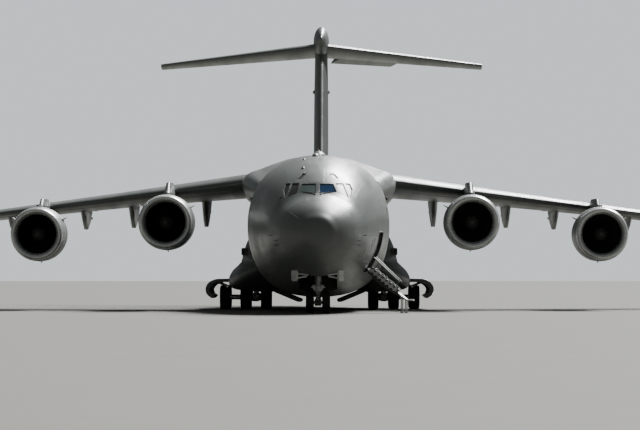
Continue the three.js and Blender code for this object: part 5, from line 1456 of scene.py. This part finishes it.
def makeStair():
    # Places on the stair are distances down its slope, along the body and up from its face
    spec = stair
    ends = [at(skinReach(s, spec["sill"]) + spec["hingeOut"], s, spec["sill"])
            for s in (spec["front"], spec["rear"])]
    along = (ends[1] - ends[0]).normalized()
    out = Vector((along.y, -along.x, 0))
    down = out * cos(radians(spec["slope"])) - axisZ * sin(radians(spec["slope"]))
    up = down.cross(along)
    width = (ends[1] - ends[0]).length / modelScale
    axes = down, along, up
    level = Matrix((out, along, axisZ)).transposed()
    flat = [level @ a for a in axesXyz]

    def on(p, u, q):
        return ends[0] + (down * p + along * u + up * q) * modelScale

    def rod(bm, places, radius, sides, index=0):
        addTube(bm, [on(*place) for place in places], radius, sides, index)

    def grips(bm, centre, offsets, rise, half):
        for off in offsets:
            place = centre + out * off * modelScale + axisZ * rise
            addBox(bm, place, flat, (0.009, half - 0.03, 0.004), 0.0, 3)
    bm = bmesh.new()
    # The curved panel, cut from the body's side and swung down about its hinge
    swing = turnAbout(ends[0], ends[1] - ends[0], spec["opening"])
    heights = [between(spec["sill"] + spec["gap"], spec["head"] - spec["gap"], k / 12) for k in range(13)]
    stations = [between(spec["front"] + spec["gap"], spec["rear"] - spec["gap"], k / 6) for k in range(7)]
    addShell(bm, *([[swing @ at(skinReach(s, z) - inset, s, z) for s in stations] for z in heights]
                   for inset in (0.0, spec["wall"])), index=4)
    # Stringers with flanges, rails on posts, hinge barrel and treads
    plates = (spec["frontInset"], width - spec["rearInset"] - spec["plate"])
    middles = [u + spec["plate"] / 2 for u in plates]
    stringer, tube = spec["stringer"], spec["tube"]
    railHeight, railEnd, railFoot = spec["railHeight"], spec["railEnd"], spec["railFoot"]
    run, halfRun = (spec["start"] + spec["length"]) / 2, (spec["length"] - spec["start"]) / 2
    for u in middles:
        addBox(bm, on(run, u, stringer / 2 - 0.01), axes, (halfRun, 0.018, stringer / 2 + 0.01), 0.004, 4)
        for q in (-0.005, stringer - 0.015):
            addBox(bm, on(run, u, q), axes, (halfRun, 0.03, 0.012), 0.003, 4)
        rod(bm, [(-0.1, u, railHeight), (0.7, u, railHeight - 0.07), (railFoot - 0.04, u, railEnd + 0.01),
                 (railFoot, u, railEnd - 0.02)], tube, 14)
        addBall(bm, on(-0.1, u, railHeight), tube * 1.15)
        for p, top in ((0.25, railHeight - 0.03), (0.85, railHeight - 0.09), (railFoot - 0.1, railEnd)):
            rod(bm, [(p, u, stringer - 0.05), (p, u, top)], tube * 0.8, 12, 4)
            addBox(bm, on(p, u, stringer), axes, (0.05, 0.028, 0.02), 0.003)
    rod(bm, [(0.0, 0.03, 0.0), (0.0, width - 0.03, 0.0)], 0.027, 20, 2)
    half = (plates[1] - plates[0] + spec["plate"]) / 2 - 0.01
    middle = (plates[0] + plates[1] + spec["plate"]) / 2
    for k in range(spec["treads"]):
        p = 0.2 + k * (spec["length"] - 0.35) / (spec["treads"] - 1)
        centre = on(p, middle, 0.2)
        addBox(bm, centre, flat, (0.13, half, 0.018), 0.003)
        # A bright bracket closes the tread's end on the outside of the stringer
        addBox(bm, on(p, plates[0] - 0.012, 0.17), flat, (0.1, 0.008, 0.085), 0.003, 3)
        grips(bm, centre, (-0.09, -0.045, 0.0, 0.045, 0.09), 0.0095, half)
        addBox(bm, centre + out * 0.125 * modelScale - axisZ * 0.012, flat, (0.008, half, 0.03), 0.001, 3)
    foot = spec["footHeight"]
    for u in middles:
        addBox(bm, on(1.72, u, foot), axes, (0.09, 0.028, 0.05), 0.004, 2)
        rod(bm, [(1.8, u - 0.03, foot), (1.8, u + 0.03, foot)], 0.025, 16, 2)
    newPiece("crewStair", bm, "stairMetal greySkinPlain darkMetal treadGrip stairDark", "step_metal",
             node="crew_door")
    # Lower step on its two pairs of props
    low = bmesh.new()
    (start, end), props = spec["step"], spec["props"]
    inner = (plates[0] + spec["plate"] + 0.014, plates[1] - 0.014)
    half = (inner[1] - inner[0]) / 2
    addBox(low, on((start + end) / 2, middle, foot), axes, ((end - start) / 2, half, 0.034), 0.004)
    rod(low, [(start, inner[0], foot), (start, inner[1], foot)], 0.024, 16, 2)
    edge = on(end, middle, foot)
    addBox(low, edge + out * 0.125 * modelScale, flat, (0.175, half, 0.03), 0.004)
    grips(low, edge, [k * 0.05 for k in range(6)], 0.0155, half)
    for u in (inner[0] + 0.05, inner[1] - 0.05):
        tops = [on(p, u, foot) for p in props]
        addTube(low, [Vector((*top.xy, 0.09)) for top in tops], 0.009)
        for top in tops:
            addTube(low, [top, Vector((*top.xy, 0.012))], 0.0145, 14)
            addTube(low, [Vector((*top.xy, 0.014)), Vector((*top.xy, 0.0))], 0.03, 18, 2)
    newPiece("lowerStep", low, "stairMetal greySkinPlain darkMetal treadGrip", "step_metal",
             node="lower_step")


makeStair()
print("crew stair made")

# Seams, hatches and slats drawn on the skin as thin raised sealant lines
hatches = {
    # columns: first and last station, lowest and highest point, sides that have it
    "frames": [(33.45, 34.45, 2.25, 4.2, (1, -1)), (12.2, 13.1, 2.1, 3.9, (-1,)),
               (8.4, 9.0, 1.5, 1.95, (1, -1)), (11.2, 11.9, 1.35, 1.8, (1, -1)),
               (19.6, 20.4, 4.9, 5.5, (1, -1)), (27.5, 28.2, 5.0, 5.5, (1, -1)),
               (4.6, 5.15, 3.1, 3.5, (1, -1)), (3.0, 3.45, 2.6, 2.95, (1, -1))],
    "rings": [10.49, 31.51, 1.7], "line": 0.0035, "rivetPitch": 0.06, "rivetOut": 0.07, "corner": 0.12,
    "portholes": [(33.95, 3.6), (9.3, 4.9), (15.2, 5.2), (20.0, 5.2), (27.85, 5.25)],
    "rim": [(-0.012, 0.15), (0.012, 0.15), (0.016, 0.132), (0.006, 0.12)],
    "pane": [(0.006, 0.12), (0.01, 0.06), (0.012, 0.0)],
}


def skinPoint(station, z, side):
    return at(side * skinReach(station, z), station, z)


def sideFrame(station0, station1, z0, z1, side):
    # A door outline with rounded corners on the body's side
    r = hatches["corner"]
    corners = ((station1 - r, z1 - r, 0), (station0 + r, z1 - r, 90), (station0 + r, z0 + r, 180),
               (station1 - r, z0 + r, 270))
    line = [(cx + r * cos(radians(start + 22.5 * k)), cz + r * sin(radians(start + 22.5 * k)))
            for cx, cz, start in corners for k in range(5)]
    dense = []
    for a, b in zip(line, line[1:] + line[:1]):
        count = max(1, int(math.dist(a, b) / 0.2))
        dense += [mixRows(a, b, k / count) for k in range(count)]
    return [skinPoint(s, z, side) for s, z in dense + dense[:2]]


def makeHatches():
    bm = bmesh.new()
    rivetLines = []
    out = hatches["rivetOut"]
    for s0, s1, z0, z1, sides in hatches["frames"]:
        for side in sides:
            addTube(bm, sideFrame(s0, s1, z0, z1, side), hatches["line"], 6, capped=False)
            rivetLines.append(sideFrame(s0 - out, s1 + out, z0 - out, z1 + out, side))
    first, last, sill, head = (stair[k] for k in ("front", "rear", "sill", "head"))
    rivetLines.append(sideFrame(first - 0.09, last + 0.09, sill + 0.08, head + 0.09, 1))
    addTube(bm, sideFrame(first - 0.03, last + 0.03, sill + 0.1, head + 0.03, 1), 0.018, 8, 3, False)
    rivetLines += [[bodyPoint(station + off, 2 * pi * i / 120) for i in range(-2, 64)]
                   for station in hatches["rings"] for off in (-0.09, 0.09)]
    rivetsOn(bm, rivetLines, hatches["rivetPitch"])
    for station, z in hatches["portholes"]:
        for side in (1, -1):
            spot = skinPoint(station, z, side)
            ahead, above = skinPoint(station - 0.1, z, side), skinPoint(station, z + 0.1, side)
            normal = (ahead - spot).cross(above - spot)
            normal *= math.copysign(1, normal.x * side)
            addTurned(bm, spot, hatches["rim"], 1, normal, 28)
            addTurned(bm, spot, hatches["pane"], 2, normal, 28)
    newPiece("bodySeams", bm, "sealGrey seamMetal paneSmoke sealBlack", "grey_skin", 40)


wingSeams = {
    "slats": [4.8, 7.2, 8.1, 10.3, 13.9, 14.9, 18.9, 22.9, 24.6], "slatShares": {1: 0.13, -1: 0.078},
    "spoilers": [(4.9, 7.3), (7.4, 9.8), (10.8, 13.1), (13.2, 15.5)], "spoilerShares": (0.6, 0.7),
    "tanks": [(6.2, 0.4), (9.0, 0.4), (12.0, 0.42), (16.0, 0.42), (20.0, 0.45), (23.0, 0.45)],
    "cap": [(-0.008, 0.2), (0.008, 0.2), (0.01, 0.17), (0.0, 0.16)], "lamp": (0.035, 0.07, 0.03),
}


def makeWingSeams(label, side):
    spec = wingSeams
    bm = bmesh.new()

    def on(x, share, top=1):
        return airfoilPoint(wingAt(x, side), share, top)
    shares = spec["slatShares"]
    for top in (1, -1):
        rear = [between(spec["slats"][0], spec["slats"][-1], k / 60) for k in range(61)]
        addTube(bm, [on(x, shares[top], top) for x in rear], 0.004, 6)
    for x in spec["slats"]:
        line = [on(x, shares[1] * (1 - k / 8)) for k in range(9)]
        line += [on(x, shares[-1] * k / 6, -1) for k in range(1, 7)]
        addTube(bm, line, 0.0045, 6)
    low, high = spec["spoilerShares"]
    for x0, x1 in spec["spoilers"]:
        line = [on(between(*ends, k / 10), share) for *ends, share in ((x0, x1, low), (x1, x0, high))
                for k in range(11)]
        addTube(bm, line + line[:1], 0.0045, 6)
    for x, share in spec["tanks"]:
        addTurned(bm, on(x, share, -1), spec["cap"], 1, -axisZ, 24)
    # Tip lamps and static wicks on the winglet
    sections = wingSections(side)
    lamp = airfoilPoint(sections[-3], 0.03, 1)
    bmesh.ops.create_uvsphere(bm, u_segments=16, v_segments=10, radius=1.0,
                              matrix=Matrix.Translation(lamp) @ Matrix.Diagonal((*spec["lamp"], 1)))
    for face in bm.faces:
        if (face.calc_center_median() - lamp).length < 0.08:
            face.material_index = 2
    for share in (0.35, 0.63, 0.91):
        edge = airfoilPoint(mixRows(sections[-2], sections[-1], share), 0.995, 0)
        addTube(bm, [edge, edge + axisY * 0.11], [0.004, 0.0012], 6, 3)
    lampColour = "navRed" if side > 0 else "navGreen"
    newPiece("wingSeams" + label.capitalize(), bm, f"sealGrey seamMetal {lampColour} sealBlack", "grey_skin",
             45)


# Aerials, probes, scoops, beacons and lamps
fittings = {
    # columns: station, left distance, half length, half width, height above the crown
    "crownDomes": [(4.7, -0.69, 0.12, 0.08, 0.07), (6.6, -0.66, 0.12, 0.08, 0.07),
                   (7.7, -0.12, 0.34, 0.17, 0.14), (8.3, 0.26, 0.12, 0.09, 0.08),
                   (12.6, 0, 0.75, 0.34, 0.3), (33.6, 0, 0.4, 0.16, 0.16)],
    # columns: station, height of the blade, chord, crown (1) or belly (-1)
    "blades": [(9.6, 0.3, 0.34, 1), (11.4, 0.24, 0.26, 1), (31.2, 0.32, 0.36, 1), (8.0, 0.26, 0.3, -1),
               (9.4, 0.2, 0.22, -1), (12.4, 0.3, 0.34, -1)],
    # columns: share of the height, share of the chord, share that it stands back
    "bladeRings": ((-0.03, 1.05, 0.0), (0.0, 1.0, 0.0), (0.5, 0.78, 0.25), (0.92, 0.58, 0.46),
                   (1.0, 0.4, 0.55)),
    "probes": [(2.0, 3.35), (2.15, 3.15), (2.6, 3.6)],
    "cornerPane": [(1.63, 5.29), (1.765, 5.27), (1.68, 5.52)],
    "rootLamp": [(-0.02, 0.18), (0.04, 0.17), (0.07, 0.1), (0.08, 0.0)],
    "scoop": (3.86, 20.0, 3.0), "strake": (3.9, 20.6, 2.57), "rootLampAt": (3.72, 17.9, 6.52),
    "finBlister": (0.32, 45.1411, 12.75), "bulletBlister": (0.45, 50.1, 15.65),
    "beacons": ((14.6, 7.8, 1), (16.4, 0.72, -1)),
    "beaconRing": [(-0.04, 0.15), (0.024, 0.14), (0.028, 0.112)],
}


def addBlade(bm, base, normal, height, chord):
    # A swept blade aerial with a rounded section
    rings = []
    for rise, c, back in fittings["bladeRings"]:
        middle, size = axisY * back * chord + normal * rise * height, c * chord
        rings.append([base + (middle + (axisY * cos(t) * 0.5 + axisX * sin(t) * 0.055) * size) * modelScale
                      for t in turns(16)])
    gridFaces(bm, rings, capped=True)


def addDome(bm, spot, halfLength, halfWidth, height, normal, index=0):
    turn = axisZ.rotation_difference(normal).to_matrix().to_4x4()
    size = Matrix.Diagonal((halfWidth * modelScale, halfLength * modelScale, height * modelScale, 1))
    made = bmesh.ops.create_uvsphere(bm, u_segments=28, v_segments=16, radius=1.0,
                                     matrix=Matrix.Translation(spot) @ turn @ size)
    for vert in made["verts"]:
        for face in vert.link_faces:
            face.material_index = index


def crownPoint(station, x):
    # A point of the crown and the direction that the skin faces there
    halfWidth, bottom, top, middle, power = bodySection(station)
    share = abs(x) / halfWidth
    angle = math.atan2((1 - share ** power) ** 0.5, math.copysign(share ** (power / 2), x or 1))
    spot = bodyPoint(station, angle)
    ahead, beside = bodyPoint(station - 0.05, angle), bodyPoint(station, angle + 0.02)
    normal = (ahead - spot).cross(beside - spot).normalized()
    return spot, normal if normal.dot(spot - at(0, station, middle)) > 0 else -normal


def onSide(side, name):
    x, station, z = fittings[name]
    return at(side * x, station, z)


def makeFittings():
    bm = bmesh.new()
    for station, x, halfLength, halfWidth, height in fittings["crownDomes"]:
        spot, normal = crownPoint(station, x)
        addDome(bm, spot - normal * 0.004, halfLength, halfWidth, height, normal)
    for station, height, chord, place in fittings["blades"]:
        halfWidth, bottom, top, middle, power = bodySection(station)
        addBlade(bm, at(0, station, top if place > 0 else bottom), axisZ * place, height, chord)
    for side in (1, -1):
        for station, z in fittings["probes"]:
            spot, out = skinPoint(station, z, side), Vector((side * 0.8, -0.6, 0))
            line = [spot - out * 0.01] + [spot + out * 0.06 + Vector((side * x, -y, 0))
                                          for x, y in ((0, 0), (0.02, 0.03), (0.022, 0.12))]
            addTube(bm, line, [0.012, 0.009, 0.008, 0.004], index=1)
        # Ram air scoop, with a near-black plate of painted shade in its mouth, and strake over the sponson's
        # nose
        scoop = onSide(side, "scoop")
        addBox(bm, scoop, axesXyz, (0.15, 0.42, 0.19), 0.04)
        addBox(bm, scoop + Vector((side * 0.02, -0.211, 0)), axesXyz, (0.09, 0.01, 0.13), 0.002, 2)
        addBlade(bm, onSide(side, "strake"), Vector((side, 0, 0.05)).normalized(), 0.62, 0.5)
        # Lamps in the wing roots, and blisters on the fin and the bullet
        addTurned(bm, onSide(side, "rootLampAt"), fittings["rootLamp"], 3, -axisY, 24)
        addDome(bm, onSide(side, "finBlister"), 0.5, 0.14, 0.2, axisX * side)
        addDome(bm, onSide(side, "bulletBlister"), 0.3, 0.09, 0.1, axisX * side, 1)
        # Small corner panes beside the cockpit windows, opaque and near black: painted shade of the flight
        # deck behind them
        outline = [onFront(side * x, z, -0.004) for x, z in fittings["cornerPane"]]
        addOutline(bm, outline, Vector((-side * 0.4, 0.9, 0)).normalized() * 0.02, 2, 0.001)
    for station, z, place in fittings["beacons"]:
        addDome(bm, at(0, station, z), 0.11, 0.11, 0.17, axisZ * place, 4)
        addTurned(bm, at(0, station, z), fittings["beaconRing"], 1, axisZ * place, 24)
    newPiece("aerialsAndLamps", bm, "greySkinPlain seamMetal ductGrey lampGlass navRed", "composite_skin", 50)


def makeWicks(body, points):
    # Static wicks on the trailing edge of a surface that moves
    bm = bmesh.new()
    for p in points:
        addTube(bm, [p - axisY * 0.01, p + Vector((0, 0.13, -0.004))], [0.0045, 0.0012], 6)
    newPiece("wicks_" + body, bm, "sealBlack", "tyre_rubber", 45, body=body)


rollers = {"tracks": (-1.6, -0.62, 0.62, 1.6), "edge": 0.11, "half": 0.09, "front": 11.1, "pitch": 0.335,
           "count": 62, "z": 1.665, "rail": (0.012, 10.5, 0.022), "railStation": 21.4, "railZ": 1.652}


def makeCargoRollers():
    bm = bmesh.new()
    for x in rollers["tracks"]:
        for edge in (-rollers["edge"], rollers["edge"]):
            addBox(bm, at(x + edge, rollers["railStation"], rollers["railZ"]), axesXyz, rollers["rail"])
        for k in range(rollers["count"]):
            station = rollers["front"] + k * rollers["pitch"]
            ends = [(x + off, station, rollers["z"]) for off in (-rollers["half"], rollers["half"])]
            addRod(bm, ends, 0.014, 10, 1)
    newPiece("cargoRollers", bm, "seamMetal bareMetal", "deck_metal", 40)


makeHatches()
makeFittings()
makeCargoRollers()
for label, side in bothSides:
    makeWingSeams(label, side)
    makeWicks(f"aileron_{label}", [airfoilPoint(wingAt(between(18.3, 24.1, k / 5), side), 0.997, 0)
                                   for k in range(6)])
    makeWicks(f"elevator_outer_{label}", [airfoilPoint(stabAt(side * (5.2 + k)), 0.997, 0) for k in range(5)])
print("fittings made")

# The two solids that show as they are
for name, node in cadNodes.items():
    node.data.materials.clear()
    finish = {"flight_deck": "cabinGrey", "cargo_floor": "deckGrey"}.get(name, "greySkin")
    node.data.materials.append(bpy.data.materials[finish])

# Camera, floor and light
view = {"place": (0.68, -136.0, 1.68), "pixels": 3030.0, "yawPixels": 12.6, "horizonDrop": 62.3,
        "imageWidth": 640}
camera = bpy.data.objects.new("frontCamera", bpy.data.cameras.new("frontCamera"))
camera.data.sensor_fit = "HORIZONTAL"
camera.data.sensor_width = 36
camera.data.lens = view["pixels"] / view["imageWidth"] * 36
camera.data.clip_end = 2000
camera.location = at(*view["place"])
aim = Vector((-view["yawPixels"] / view["pixels"], 1, view["horizonDrop"] / view["pixels"]))
camera.rotation_euler = aim.to_track_quat("-Z", "Y").to_euler()
scene.collection.objects.link(camera)
scene.camera = camera

floorMaterial, floorTree, floorShader = newMaterial("paleFloor")
place = addNode(floorTree, "ShaderNodeTexCoord").outputs["Object"]
noise = addNode(floorTree, "ShaderNodeTexNoise",
                {"Scale": 0.6, "Detail": 5.0, "Vector": place}).outputs["Fac"]
floorColour = mixColour(floorTree, noise, (0.1, 0.098, 0.086), (0.12, 0.117, 0.102))
setSockets(floorTree, floorShader, {"Base Color": floorColour, "Roughness": 0.9})
floorBm = bmesh.new()
bmesh.ops.create_grid(floorBm, x_segments=1, y_segments=1, size=600)
floorMesh = bpy.data.meshes.new("studioFloor")
floorBm.to_mesh(floorMesh)
floorBm.free()
floorMesh.materials.append(floorMaterial)
studioFloor = bpy.data.objects.new("studioFloor", floorMesh)
scene.collection.objects.link(studioFloor)

scene.world = bpy.data.worlds.new("studioWorld")
scene.world.use_nodes = True
skyTree = scene.world.node_tree
# The backdrop looks brighter than the light that it gives
seen = addNode(skyTree, "ShaderNodeLightPath").outputs["Is Camera Ray"]
setSockets(skyTree, skyTree.nodes["Background"],
           {"Color": (0.84, 0.9, 0.93), "Strength": scaled(skyTree, seen, 0.15, 0.95)})
for name, towards, energy, angle in (("keyLight", (0.5, 0.42, 0.9), 6.0, 10),
                                     ("rimLight", (0.3, 0.76, 0.62), 6.5, 18)):
    lamp = bpy.data.objects.new(name, bpy.data.lights.new(name, "SUN"))
    lamp.data.energy = energy
    lamp.data.angle = radians(angle)
    lamp.rotation_euler = (-Vector(towards)).to_track_quat("-Z", "Y").to_euler()
    scene.collection.objects.link(lamp)
print("camera and light set")
